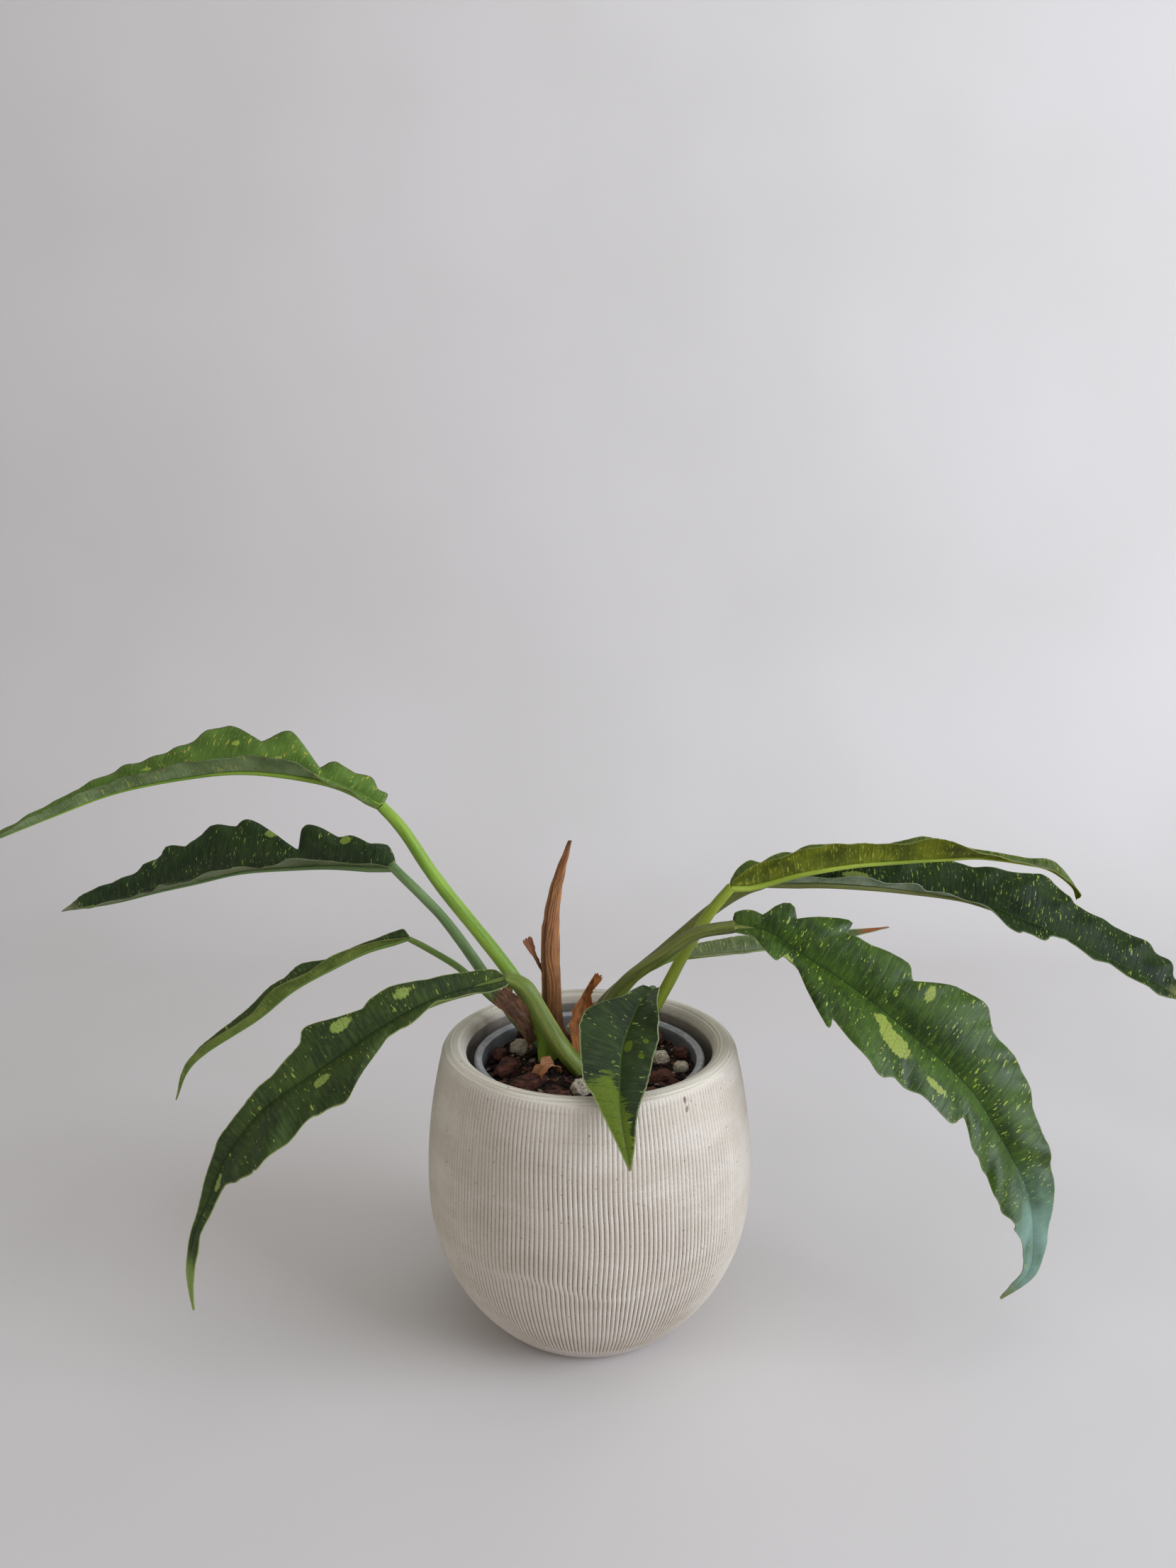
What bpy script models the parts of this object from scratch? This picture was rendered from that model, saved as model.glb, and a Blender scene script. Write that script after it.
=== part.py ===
"""Potted philodendron: a combed ceramic cachepot, the grow pot inside it, the mix and the plant."""

import math
import random

import bmesh
import bpy
from mathutils import Matrix, Vector

MM = 0.001

# Outer pot
POT_HEIGHT = 0.152
POT_FOOT_RADIUS = 0.0480
POT_BELLY_RADIUS = 0.0853
POT_BELLY_HEIGHT = 0.0836
POT_OPENING_RADIUS = 0.0648
POT_LIP_WIDTH = 0.0128
POT_LIP_DEPTH = 0.0060
POT_WALL = 0.0115
POT_FLOOR = 0.0180

# Grow pot, standing on the outer pot's floor with its rim a little below the lip
GROW_RIM_RECESS = 0.0084
GROW_RIM_CLEARANCE = 0.0048
GROW_BASE_RADIUS = 0.0440
GROW_WALL = 0.0014
GROW_RIM_WIDTH = 0.0030
GROW_RIM_HEIGHT = 0.0045
DRAIN_HOLE_RADIUS = 0.0040
DRAIN_RING_RADIUS = 0.0290
DRAIN_COUNT = 6

# Growing mix and the stem set into it
MIX_BELOW_RIM = 0.0096
STEM_RADIUS = 0.0060
STEM_DEPTH = 0.0300
STEM_ABOVE_MIX = 0.0060
STEM_AXIS = (-0.0100, 0.0100)

# Gaps and thicknesses
GAP = 0.0003
BLADE_THICKNESS = 0.0010
SHEATH_THICKNESS = 0.0009

# Fineness of the meshes
POT_SEGMENTS = 48
POT_LOWER_STEPS = 6
POT_UPPER_STEPS = 4
POT_LIP_STEPS = 8
POT_INSIDE_STEPS = 8
GROW_SEGMENTS = 40
MIX_SEGMENTS = 32
HOLE_SEGMENTS = 16
STEM_SIDES = 16
STALK_SIDES = 8
STALK_STATIONS = 9
SPIKE_STATIONS = 12
BLADE_STATIONS = 15
SHEATH_STATIONS = 6
CHUNK_POINTS = 18

POT_RIM_RADIUS = POT_OPENING_RADIUS + POT_LIP_WIDTH
POT_LIP_BASE_Z = POT_HEIGHT - POT_LIP_DEPTH
GROW_SEAT_Z = POT_FLOOR + GAP
GROW_TOP_Z = POT_HEIGHT - GROW_RIM_RECESS
GROW_RIM_RADIUS = POT_OPENING_RADIUS - GROW_RIM_CLEARANCE
GROW_MOUTH_RADIUS = GROW_RIM_RADIUS - GROW_RIM_WIDTH
MIX_TOP_Z = GROW_TOP_Z - MIX_BELOW_RIM
STEM_TOP_Z = MIX_TOP_Z + STEM_ABOVE_MIX

# The chunks are laid out for this mouth radius, and the leaf over the rim for this rim radius.
# Another size spreads them in proportion.
CHUNK_LAYOUT_RADIUS = 0.0570
RIM_LAYOUT_RADIUS = 0.0776

# The plant's points are in millimetres from the middle of the mix's surface, base to tip.
# A side's outline: (share of the blade's length, width in mm, lift from the blade's plane in degrees).
LEAVES = {
    "leaf_back_left": dict(
        stalk=((-22, 2, 7), (-25.5, 3.5, 24), (-43, 10, 52), (-79, 17, 97), (-97, 20, 124), (-108, 22, 136)),
        stalk_radius=(4.6, 2.9),
        spine=((-109, 22, 137), (-125, 24, 146), (-145, 27, 151), (-179, 32, 154), (-210, 36, 151),
               (-253, 38, 142), (-288, 33, 129), (-323, 27, 115)),
        up=((0.2, 0.0, 1.0), (-0.3, -0.1, 1.0)),
        right=((0.0, 9, 50), (0.25, 11, 50), (0.35, 23, 48), (0.48, 27, 47), (0.7, 14, 45), (0.9, 7, 42),
               (1.0, 1, 40)),
        left=((0.0, 8, 40), (0.2, 17, 30), (0.5, 19, 25), (0.75, 12, 25), (1.0, 1, 25)),
        color=(0.10, 0.24, 0.045),
    ),
    "leaf_middle_left": dict(
        stalk=((-22, 16, 7), (-36, 16, 16), (-50, 21, 35), (-64, 27, 54), (-81, 33, 75), (-105, 39, 98)),
        stalk_radius=(3.2, 2.6),
        spine=((-106, 40, 99), (-139, 44, 100), (-163, 48, 98), (-194, 53, 94), (-220, 56, 87),
               (-243, 58, 81), (-269, 59, 74), (-298, 60, 69)),
        up=((0.2, 0.0, 1.0), (-0.2, 0.0, 1.0)),
        right=((0.0, 10, 58), (0.2, 19, 58), (0.32, 14, 58), (0.45, 27, 58), (0.68, 21, 55), (0.9, 11, 50),
               (1.0, 1, 45)),
        left=((0.0, 8, 30), (0.2, 16, 20), (0.5, 18, 15), (0.8, 9, 15), (1.0, 1, 15)),
        color=(0.035, 0.10, 0.035),
    ),
    "leaf_low_left": dict(
        stalk=((-16, 22, 8), (-32, 28, 15), (-52, 31, 27), (-71, 34, 44), (-90, 37, 55), (-98, 38, 59)),
        stalk_radius=(2.0, 1.5),
        spine=((-99, 38, 60), (-121, 36, 54), (-140, 34, 45), (-162, 31, 33), (-182, 28, 17),
               (-209, 24, 0), (-220, 22, -11), (-226, 20, -26)),
        up=((-0.2, -0.2, 1.0), (-0.7, -0.3, 0.7)),
        right=((0.0, 4, 55), (0.25, 5, 55), (0.48, 9, 52), (0.75, 4, 48), (1.0, 1, 40)),
        left=((0.0, 3, 35), (0.2, 8, 30), (0.5, 8, 25), (0.8, 5, 25), (1.0, 1, 25)),
        color=(0.04, 0.12, 0.03),
    ),
    "leaf_front_left": dict(
        stalk=((-4, -7, 3.6), (-13, -8, 14), (-22, -9, 29), (-31, -9, 46), (-36, -9, 51), (-41, -9, 53)),
        stalk_radius=(4.8, 3.6),
        spine=((-42.5, -9, 53), (-66, -14, 49), (-84, -20, 44), (-103, -27, 35), (-120, -34, 25),
               (-138, -41, 14), (-155, -48, 4), (-166, -54, -7), (-176, -59, -21), (-183, -63, -39),
               (-189, -66, -53), (-192, -68, -69), (-192, -69, -82), (-191, -70, -92)),
        up=((-0.1, -0.5, 1.0), (-0.45, -0.9, 0.35)),
        right=((0.0, 8, 10), (0.2, 16, 12), (0.35, 21, 12), (0.45, 12, 12), (0.7, 6, 10), (1.0, 1, 10)),
        left=((0.0, 8, 25), (0.15, 9, 20), (0.35, 26, 15), (0.5, 27, 12), (0.65, 12, 10), (0.85, 6, 10),
              (1.0, 1, 10)),
        color=(0.06, 0.16, 0.04),
    ),
    "leaf_top_right": dict(
        stalk=((16, 8, 2.8), (19, 8, 6), (26, 10, 16), (36, 12, 32), (51, 13, 61), (63, 14, 81),
               (73, 14, 94)),
        stalk_radius=(3.4, 2.6),
        spine=((74, 14, 95), (90, 17, 97), (112, 20, 103), (140, 24, 106), (168, 28, 107), (192, 31, 107),
               (211, 33, 107), (236, 35, 103), (250, 36, 99), (262, 36, 90), (265, 36, 83)),
        up=((-0.2, 0.0, 1.0), (0.6, -0.2, 0.8)),
        left=((0.0, 6, 50), (0.2, 15, 50), (0.5, 17, 45), (0.65, 12, 35), (0.85, 6, 20), (1.0, 1, 10)),
        right=((0.0, 5, 80), (0.2, 13, 80), (0.5, 14, 78), (0.62, 10, 30), (0.85, 7, 10), (1.0, 1, 10)),
        color=(0.16, 0.26, 0.03),
    ),
    "leaf_middle_right": dict(
        stalk=((-4, 16, 15), (11, 19, 33), (38, 23, 56), (67, 28, 80), (83, 31, 89), (93, 33, 92)),
        stalk_radius=(3.7, 2.8),
        spine=((94, 34, 92), (124, 40, 91), (152, 45, 88), (179, 49, 84), (207, 52, 79), (226, 52, 73),
               (244, 51, 66), (262, 50, 59), (282, 48, 49), (305, 45, 38), (320, 42, 30), (338, 40, 22)),
        up=((-0.1, -0.3, 1.0), (0.35, -0.5, 0.8)),
        left=((0.0, 6, 40), (0.2, 19, 38), (0.4, 24, 30), (0.55, 31, 25), (0.75, 23, 20), (0.9, 18, 15),
              (1.0, 1, 10)),
        right=((0.0, 4, 75), (0.25, 8, 60), (0.38, 13, 20), (0.55, 14, 0), (0.8, 14, 0), (1.0, 1, 0)),
        color=(0.045, 0.13, 0.03),
    ),
    "leaf_front_right": dict(
        stalk=((-1, 6, 16), (16, 3, 44), (39, -1, 64), (55, -4, 76), (72, -6, 80)),
        stalk_radius=(3.5, 3.1),
        spine=((73, -6, 80), (90, -9, 79), (106, -14, 69), (123, -19, 59), (141, -25, 47), (160, -31, 32),
               (177, -36, 18), (191, -40, 3), (200, -43, -12), (208, -46, -26), (216, -49, -44),
               (219, -51, -66), (217, -53, -83), (204, -55, -96)),
        up=((0.2, -0.7, 1.0), (0.5, -1.0, 0.25)),
        left=((0.0, 8, 15), (0.1, 18, 18), (0.2, 28, 18), (0.3, 25, 15), (0.43, 36, 12), (0.6, 26, 10),
              (0.8, 14, 10), (1.0, 1, 5)),
        right=((0.0, 6, 15), (0.1, 14, 15), (0.2, 30, 12), (0.4, 28, 10), (0.52, 18, 10), (0.7, 21, 8),
               (0.85, 9, 8), (1.0, 1, 5)),
        color=(0.05, 0.15, 0.03),
    ),
    "leaf_back_right": dict(
        stalk=((2, 24, 12), (23, 27, 39), (38, 31, 49), (48, 34, 51.5)),
        stalk_radius=(2.2, 1.7),
        spine=((49, 34, 52), (64, 38, 53), (86, 44, 54), (107, 50, 54), (128, 56, 55), (150, 62, 56),
               (172, 68, 58)),
        up=((-0.1, -0.2, 1.0), (0.0, -0.2, 1.0)),
        left=((0.0, 3, 40), (0.25, 8, 40), (0.55, 9, 35), (0.85, 3, 30), (1.0, 1, 20)),
        right=((0.0, 3, 20), (0.25, 7, 20), (0.55, 8, 20), (0.85, 3, 20), (1.0, 1, 20)),
        color=(0.05, 0.13, 0.035),
    ),
    "leaf_front": dict(
        stalk=((4, -2, 7), (14, -6, 23), (24, -11, 39), (31, -15, 49)),
        stalk_radius=(2.6, 2.0),
        spine=((32.5, -16.5, 50.5), (28, -27, 51), (22, -38, 46), (16, -54, 36), (14, -71, 25.5),
               (14, -84, 17), (16, -94, 6), (18, -98, -4)),
        up=((-0.1, -0.2, 1.0), (0.0, -1.0, 0.35)),
        right=((0.0, 6, 20), (0.2, 9, 20), (0.36, 22, 18), (0.52, 18, 12), (0.75, 8, 8), (1.0, 1, 5)),
        left=((0.0, 3, 30), (0.2, 8, 25), (0.42, 16, 15), (0.7, 9, 10), (1.0, 1, 5)),
        color=(0.05, 0.14, 0.035),
        over_rim=True,
    ),
}

# The dried spike stands on the stem: its heights are from the stem's top.
SPIKE = dict(
    path=((-15, 12, 1), (-19, 12, 18), (-20, 12, 40), (-20, 12, 58), (-19.5, 12, 77), (-15.5, 12, 97),
          (-10, 12, 115)),
    radii=(4.6, 4.5, 4.3, 4.0, 3.7, 2.6, 0.8),
)

DRIED_SHEATHS = {
    "dried_sheath_left": dict(
        spine=((-31, 0, 16), (-36, -1, 26), (-42, -2, 34), (-48, -3, 41)),
        up=((0.6, -0.5, 0.6), (0.6, -0.5, 0.6)),
        right=((0.0, 3, 40), (0.5, 6, 40), (1.0, 8, 35)),
        left=((0.0, 3, 40), (0.5, 5, 40), (1.0, 7, 35)),
    ),
    "dried_sheath_right": dict(
        spine=((-3.5, 0, 7), (-5, 1, 24), (-4, 1, 37), (1, 0, 52)),
        up=((0.3, -1.0, 0.2), (0.3, -1.0, 0.2)),
        right=((0.0, 3, 35), (0.4, 5, 30), (0.75, 3, 30), (1.0, 1.5, 20)),
        left=((0.0, 3, 35), (0.4, 5, 30), (0.75, 2, 30), (1.0, 1.5, 20)),
    ),
    "dried_sheath_tuft": dict(
        spine=((-27, 12, 54), (-30, 12, 61), (-33.5, 12, 68)),
        up=((0.5, -0.8, 0.4), (0.5, -0.8, 0.4)),
        right=((0.0, 1.5, 20), (0.6, 2, 20), (1.0, 1, 20)),
        left=((0.0, 1.5, 20), (0.6, 2, 20), (1.0, 1, 20)),
    ),
    "dried_sheath_curl": dict(
        spine=((-17, -15, 8), (-20, -17, 12), (-23, -19, 13), (-26, -21, 9)),
        up=((-0.3, -0.3, 1.0), (-0.8, -0.8, 0.3)),
        right=((0.0, 2, 20), (0.5, 4, 25), (1.0, 2, 20)),
        left=((0.0, 2, 20), (0.5, 4, 25), (1.0, 2, 20)),
    ),
    "dried_sheath_scrap": dict(
        spine=((1, -16, 1.5), (5, -15, 3.5), (9, -14, 4.5)),
        up=((0.0, -0.4, 1.0), (0.0, -0.4, 1.0)),
        right=((0.0, 1, 15), (0.6, 3, 15), (1.0, 1, 15)),
        left=((0.0, 1, 15), (0.6, 3, 15), (1.0, 1, 15)),
    ),
}

# Chunks lying on the mix: place in mm, size in mm (length, width, height) and heading in degrees.
BARK_CHIPS = (
    ((-43, -6), (20, 11, 7), 65),
    ((-31, -23), (22, 10, 7), 30),
    ((36, 34), (15, 9, 8), 110),
    ((36, -16), (17, 9, 6), 20),
    ((-17, -40), (18, 10, 6), -10),
    ((14, -29), (16, 10, 6), 75),
    ((28, -37), (16, 9, 6), 15),
    ((-21, 44), (13, 8, 6), 15),
    ((5, 47), (16, 9, 7), 5),
    ((-48, 13), (14, 8, 6), 85),
    ((49, 14), (13, 8, 6), 100),
    ((22, -8), (12, 8, 5), 50),
)
PUMICE_STONES = (
    ((-37, 19), (11, 10, 9), 0),
    ((-4, -31), (11, 9, 9), 20),
    ((38, 6), (9, 8, 8), 0),
    ((-9, 46), (9, 8, 8), 40),
    ((48, -5), (8, 7, 7), 10),
    ((5, -47), (9, 8, 7), 70),
    ((22, 45), (8, 7, 7), 0),
)
LAVA_ROCKS = (
    ((-35, 33), (12, 11, 10), 30),
    ((26, 21), (12, 10, 9), 0),
    ((43, -29), (10, 9, 8), 50),
    ((-33, -39), (11, 9, 8), 15),
    ((9, 32), (8, 8, 7), 0),
)


def clear_scene():
    for item in list(bpy.data.objects):
        bpy.data.objects.remove(item, do_unlink=True)


def make_material(name, color, roughness):
    material = bpy.data.materials.new(name)
    material.use_nodes = True
    shader = material.node_tree.nodes["Principled BSDF"]
    shader.inputs["Base Color"].default_value = (*color, 1.0)
    shader.inputs["Roughness"].default_value = roughness
    shader.inputs["Metallic"].default_value = 0.0
    return material


def add_object(name, mesh_builder, material, sharp_angle=40.0):
    mesh = bpy.data.meshes.new(name)
    bmesh.ops.recalc_face_normals(mesh_builder, faces=mesh_builder.faces)
    mesh_builder.to_mesh(mesh)
    mesh_builder.free()
    mesh.shade_smooth()
    mesh.set_sharp_from_angle(angle=math.radians(sharp_angle))
    mesh.materials.append(material)
    item = bpy.data.objects.new(name, mesh)
    bpy.context.collection.objects.link(item)
    return item


def smooth_value(values, share):
    """Catmull-Rom value at a share of the way along evenly spaced values."""
    place = share * (len(values) - 1)
    index = min(int(place), len(values) - 2)
    t = place - index
    p1, p2 = values[index], values[index + 1]
    p0 = values[index - 1] if index > 0 else 2 * p1 - p2
    p3 = values[index + 2] if index + 2 < len(values) else 2 * p2 - p1
    return 0.5 * (2 * p1 + (p2 - p0) * t + (2 * p0 - 5 * p1 + 4 * p2 - p3) * t ** 2
                  + (3 * p1 - p0 - 3 * p2 + p3) * t ** 3)


def sample_path(points, stations, base=MIX_TOP_Z, spread=1.0):
    """Points along the smooth curve through a piece's own points."""
    placed = [Vector((x * MM * spread, y * MM * spread, base + z * MM)) for x, y, z in points]
    return [smooth_value(placed, i / stations) for i in range(stations + 1)]


def path_tangents(path):
    last = len(path) - 1
    return [(path[min(i + 1, last)] - path[max(i - 1, 0)]).normalized() for i in range(last + 1)]


def outline_at(outline, share):
    """Width (m) and lift (radians) of one side of a blade at a share of its length."""
    for (t0, w0, a0), (t1, w1, a1) in zip(outline, outline[1:]):
        if share <= t1:
            k = (share - t0) / (t1 - t0)
            k = k * k * (3 - 2 * k)
            return (w0 + (w1 - w0) * k) * MM, math.radians(a0 + (a1 - a0) * k)
    return outline[-1][1] * MM, math.radians(outline[-1][2])


def loft_rings(rings):
    """A closed body through rings of points, with a face at each end."""
    builder = bmesh.new()
    loops = [[builder.verts.new(point) for point in ring] for ring in rings]
    count = len(loops[0])
    for lower, upper in zip(loops, loops[1:]):
        for i in range(count):
            j = (i + 1) % count
            builder.faces.new((lower[i], lower[j], upper[j], upper[i]))
    builder.faces.new(list(reversed(loops[0])))
    builder.faces.new(loops[-1])
    return builder


def turn_profile(profile, segments):
    """A body turned about Z from (radius, height) points that start and end on the axis."""
    builder = bmesh.new()
    verts = [builder.verts.new((radius, 0.0, height)) for radius, height in profile]
    edges = [builder.edges.new(pair) for pair in zip(verts, verts[1:])]
    bmesh.ops.spin(builder, geom=verts + edges, axis=(0, 0, 1), cent=(0, 0, 0),
                   angle=math.tau, steps=segments, use_duplicate=False)
    bmesh.ops.remove_doubles(builder, verts=builder.verts, dist=1e-6)
    return builder


def pot_outer_radius(height):
    """Outer radius under the lip: a full curve up to the belly, then a slow pull in to the lip."""
    if height < POT_BELLY_HEIGHT:
        left = 1 - height / POT_BELLY_HEIGHT
        return POT_FOOT_RADIUS + (POT_BELLY_RADIUS - POT_FOOT_RADIUS) * (1 - left ** 2.4) ** 0.9
    share = (height - POT_BELLY_HEIGHT) / (POT_LIP_BASE_Z - POT_BELLY_HEIGHT)
    return POT_BELLY_RADIUS + (POT_RIM_RADIUS - POT_BELLY_RADIUS) * share ** 2


def pot_lip_points():
    """The rounded lip from outside to inside, as half an ellipse."""
    middle = (POT_RIM_RADIUS + POT_OPENING_RADIUS) / 2
    points = []
    for i in range(POT_LIP_STEPS + 1):
        angle = math.pi * i / POT_LIP_STEPS
        across = math.cos(angle) * POT_LIP_WIDTH / 2
        points.append((middle + across, POT_LIP_BASE_Z + POT_LIP_DEPTH * math.sin(angle)))
    return points


def make_outer_pot(material):
    profile = [(0.0, 0.0)]
    for i in range(POT_LOWER_STEPS):
        height = POT_BELLY_HEIGHT * (i / POT_LOWER_STEPS) ** 1.5
        profile.append((pot_outer_radius(height), height))
    for i in range(POT_UPPER_STEPS):
        height = POT_BELLY_HEIGHT + (POT_LIP_BASE_Z - POT_BELLY_HEIGHT) * i / POT_UPPER_STEPS
        profile.append((pot_outer_radius(height), height))
    profile += pot_lip_points()
    inside_top = POT_LIP_BASE_Z - POT_LIP_DEPTH
    for i in range(POT_INSIDE_STEPS + 1):
        height = inside_top + (POT_FLOOR - inside_top) * i / POT_INSIDE_STEPS
        profile.append((pot_outer_radius(height) - POT_WALL, height))
    profile.append((0.0, POT_FLOOR))
    return add_object("outer_pot", turn_profile(profile, POT_SEGMENTS), material)


def grow_outer_radius(height):
    """Outer radius of the grow pot's tapered wall, under its rolled rim."""
    top = GROW_TOP_Z - GROW_RIM_HEIGHT
    share = (height - GROW_SEAT_Z) / (top - GROW_SEAT_Z)
    return GROW_BASE_RADIUS + (GROW_MOUTH_RADIUS + GROW_WALL - GROW_BASE_RADIUS) * share


def make_grow_pot(material):
    roll = GROW_RIM_WIDTH / 3
    under = GROW_TOP_Z - GROW_RIM_HEIGHT
    floor = GROW_SEAT_Z + GROW_WALL
    profile = [
        (0.0, GROW_SEAT_Z),
        (GROW_BASE_RADIUS - GROW_WALL, GROW_SEAT_Z),
        (GROW_BASE_RADIUS, floor),
        (grow_outer_radius(under), under),
        (GROW_RIM_RADIUS, under),
        (GROW_RIM_RADIUS, GROW_TOP_Z - roll),
        (GROW_RIM_RADIUS - roll, GROW_TOP_Z),
        (GROW_MOUTH_RADIUS + roll / 2, GROW_TOP_Z),
        (GROW_MOUTH_RADIUS, GROW_TOP_Z - roll),
        (grow_outer_radius(under) - GROW_WALL, under - roll),
        (grow_outer_radius(floor) - GROW_WALL, floor),
        (0.0, floor),
    ]
    pot = add_object("grow_pot", turn_profile(profile, GROW_SEGMENTS), material)
    for i in range(DRAIN_COUNT):
        angle = math.tau * i / DRAIN_COUNT
        center = (DRAIN_RING_RADIUS * math.cos(angle), DRAIN_RING_RADIUS * math.sin(angle), GROW_SEAT_Z)
        drill(pot, f"drain_cutter_{i + 1}", center, DRAIN_HOLE_RADIUS, GROW_WALL * 4)
    return pot


def drill(target, name, center, radius, length):
    """Cut a round hole along Z through the target, centred on a point."""
    builder = bmesh.new()
    bmesh.ops.create_cone(builder, cap_ends=True, segments=HOLE_SEGMENTS,
                          radius1=radius, radius2=radius, depth=length)
    bmesh.ops.translate(builder, verts=builder.verts, vec=center)
    cutter = add_object(name, builder, target.data.materials[0])
    cutter.hide_render = True
    cutter.display_type = "WIRE"
    cut = target.modifiers.new(name, "BOOLEAN")
    cut.operation = "DIFFERENCE"
    cut.solver = "EXACT"
    cut.object = cutter


def make_mix(material):
    floor = GROW_SEAT_Z + GROW_WALL + GAP
    inset = GROW_WALL + GAP * 2
    profile = [
        (0.0, floor),
        (grow_outer_radius(floor) - inset, floor),
        (grow_outer_radius((floor + MIX_TOP_Z) / 2) - inset, (floor + MIX_TOP_Z) / 2),
        (grow_outer_radius(MIX_TOP_Z) - inset, MIX_TOP_Z),
        (0.0, MIX_TOP_Z),
    ]
    mix = add_object("growing_mix", turn_profile(profile, MIX_SEGMENTS), material)
    drill(mix, "stem_hole_cutter", (*STEM_AXIS, MIX_TOP_Z), STEM_RADIUS + GAP * 2, (STEM_DEPTH + GAP) * 2)
    return mix


def make_stem(material):
    low = MIX_TOP_Z - STEM_DEPTH
    round_off = STEM_RADIUS / 6
    steps = ((low, 0.7), (low + STEM_RADIUS, 1.0), (STEM_TOP_Z - round_off, 1.0), (STEM_TOP_Z, 0.85))
    rings = []
    for height, share in steps:
        center = Vector((*STEM_AXIS, height))
        rings.append(circle_points(center, Vector((0, 0, 1)), STEM_RADIUS * share, STEM_SIDES))
    return add_object("stem", loft_rings(rings), material)


def circle_points(center, axis, radius, sides, across=None):
    across = (across or axis.orthogonal()).normalized()
    other = axis.cross(across).normalized()
    points = []
    for i in range(sides):
        angle = math.tau * i / sides
        points.append(center + (across * math.cos(angle) + other * math.sin(angle)) * radius)
    return points


def make_tube(name, path, radii, material):
    """A tapered round stalk along a smooth path."""
    tangents = path_tangents(path)
    across = tangents[0].orthogonal().normalized()
    rings = []
    for i, (center, tangent) in enumerate(zip(path, tangents)):
        across = (across - tangent * across.dot(tangent)).normalized()
        radius = smooth_value(radii, i / (len(path) - 1)) * MM
        rings.append(circle_points(center, tangent, radius, STALK_SIDES, across))
    return add_object(name, loft_rings(rings), material, sharp_angle=60.0)


def blade_frame(shape, tangent, share):
    """Side and up directions of a blade at a share of its length."""
    up = Vector(shape["up"][0]).lerp(Vector(shape["up"][1]), share)
    up = (up - tangent * up.dot(tangent)).normalized()
    return tangent.cross(up).normalized(), up


def make_blade(name, shape, path, thickness, material):
    """A thin closed blade: two sides that rise from the midrib, cut to their outlines."""
    tangents = path_tangents(path)
    half = thickness / 2
    rings = []
    for i, center in enumerate(path):
        share = i / (len(path) - 1)
        side, up = blade_frame(shape, tangents[i], share)
        right_width, right_lift = outline_at(shape["right"], share)
        left_width, left_lift = outline_at(shape["left"], share)
        right = side * math.cos(right_lift) + up * math.sin(right_lift)
        left = -side * math.cos(left_lift) + up * math.sin(left_lift)
        right_normal = up * math.cos(right_lift) - side * math.sin(right_lift)
        left_normal = up * math.cos(left_lift) + side * math.sin(left_lift)
        middle_normal = (right_normal + left_normal).normalized()
        row = (
            (center + right * right_width, right_normal),
            (center + right * right_width / 2, right_normal),
            (center, middle_normal),
            (center + left * left_width / 2, left_normal),
            (center + left * left_width, left_normal),
        )
        over = [point + normal * half for point, normal in row]
        under = [point - normal * half for point, normal in reversed(row)]
        rings.append(over + under)
    builder = loft_rings(rings)
    bmesh.ops.triangulate(builder, faces=[face for face in builder.faces if len(face.verts) > 4])
    return add_object(name, builder, material, sharp_angle=70.0)


def make_leaf(name, shape):
    green = make_material(name + "_green", shape["color"], 0.42)
    spread = POT_RIM_RADIUS / RIM_LAYOUT_RADIUS if shape.get("over_rim") else 1.0
    stalk_path = sample_path(shape["stalk"], STALK_STATIONS, spread=spread)
    blade_path = sample_path(shape["spine"], BLADE_STATIONS, spread=spread)
    make_tube(name + "_stalk", stalk_path, shape["stalk_radius"], green)
    make_blade(name + "_blade", shape, blade_path, BLADE_THICKNESS, green)


def make_chunk(name, chunk, seed, boxy, material):
    """An angular chunk lying on the mix: the hull of scattered points on a rounded block."""
    (x, y), size, heading = chunk
    spread = GROW_MOUTH_RADIUS / CHUNK_LAYOUT_RADIUS * MM
    rng = random.Random(seed)
    builder = bmesh.new()
    for i in range(CHUNK_POINTS):
        height = 1 - 2 * (i + 0.5) / CHUNK_POINTS
        angle = i * math.pi * (3 - math.sqrt(5))
        ring = math.sqrt(1 - height * height)
        direction = Vector((ring * math.cos(angle), ring * math.sin(angle), height))
        largest = max(abs(value) for value in direction)
        reach = 1 + (1 / largest - 1) * boxy
        builder.verts.new(direction * reach * rng.uniform(0.88, 1.0) * 0.5)
    hull = bmesh.ops.convex_hull(builder, input=builder.verts)
    unused = [item for item in hull["geom_interior"] if isinstance(item, bmesh.types.BMVert)]
    bmesh.ops.delete(builder, geom=unused, context="VERTS")
    bmesh.ops.scale(builder, vec=[value * spread for value in size], verts=builder.verts)
    turn = Matrix.Rotation(math.radians(heading), 3, "Z")
    bmesh.ops.rotate(builder, cent=(0, 0, 0), matrix=turn, verts=builder.verts)
    lowest = min(vert.co.z for vert in builder.verts)
    bmesh.ops.translate(builder, verts=builder.verts, vec=(x * spread, y * spread, MIX_TOP_Z + GAP - lowest))
    return add_object(name, builder, material, sharp_angle=25.0)


def make_chunks(prefix, chunks, first_seed, boxy, material):
    for number, chunk in enumerate(chunks, start=1):
        make_chunk(f"{prefix}_{number}", chunk, first_seed + number, boxy, material)


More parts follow.
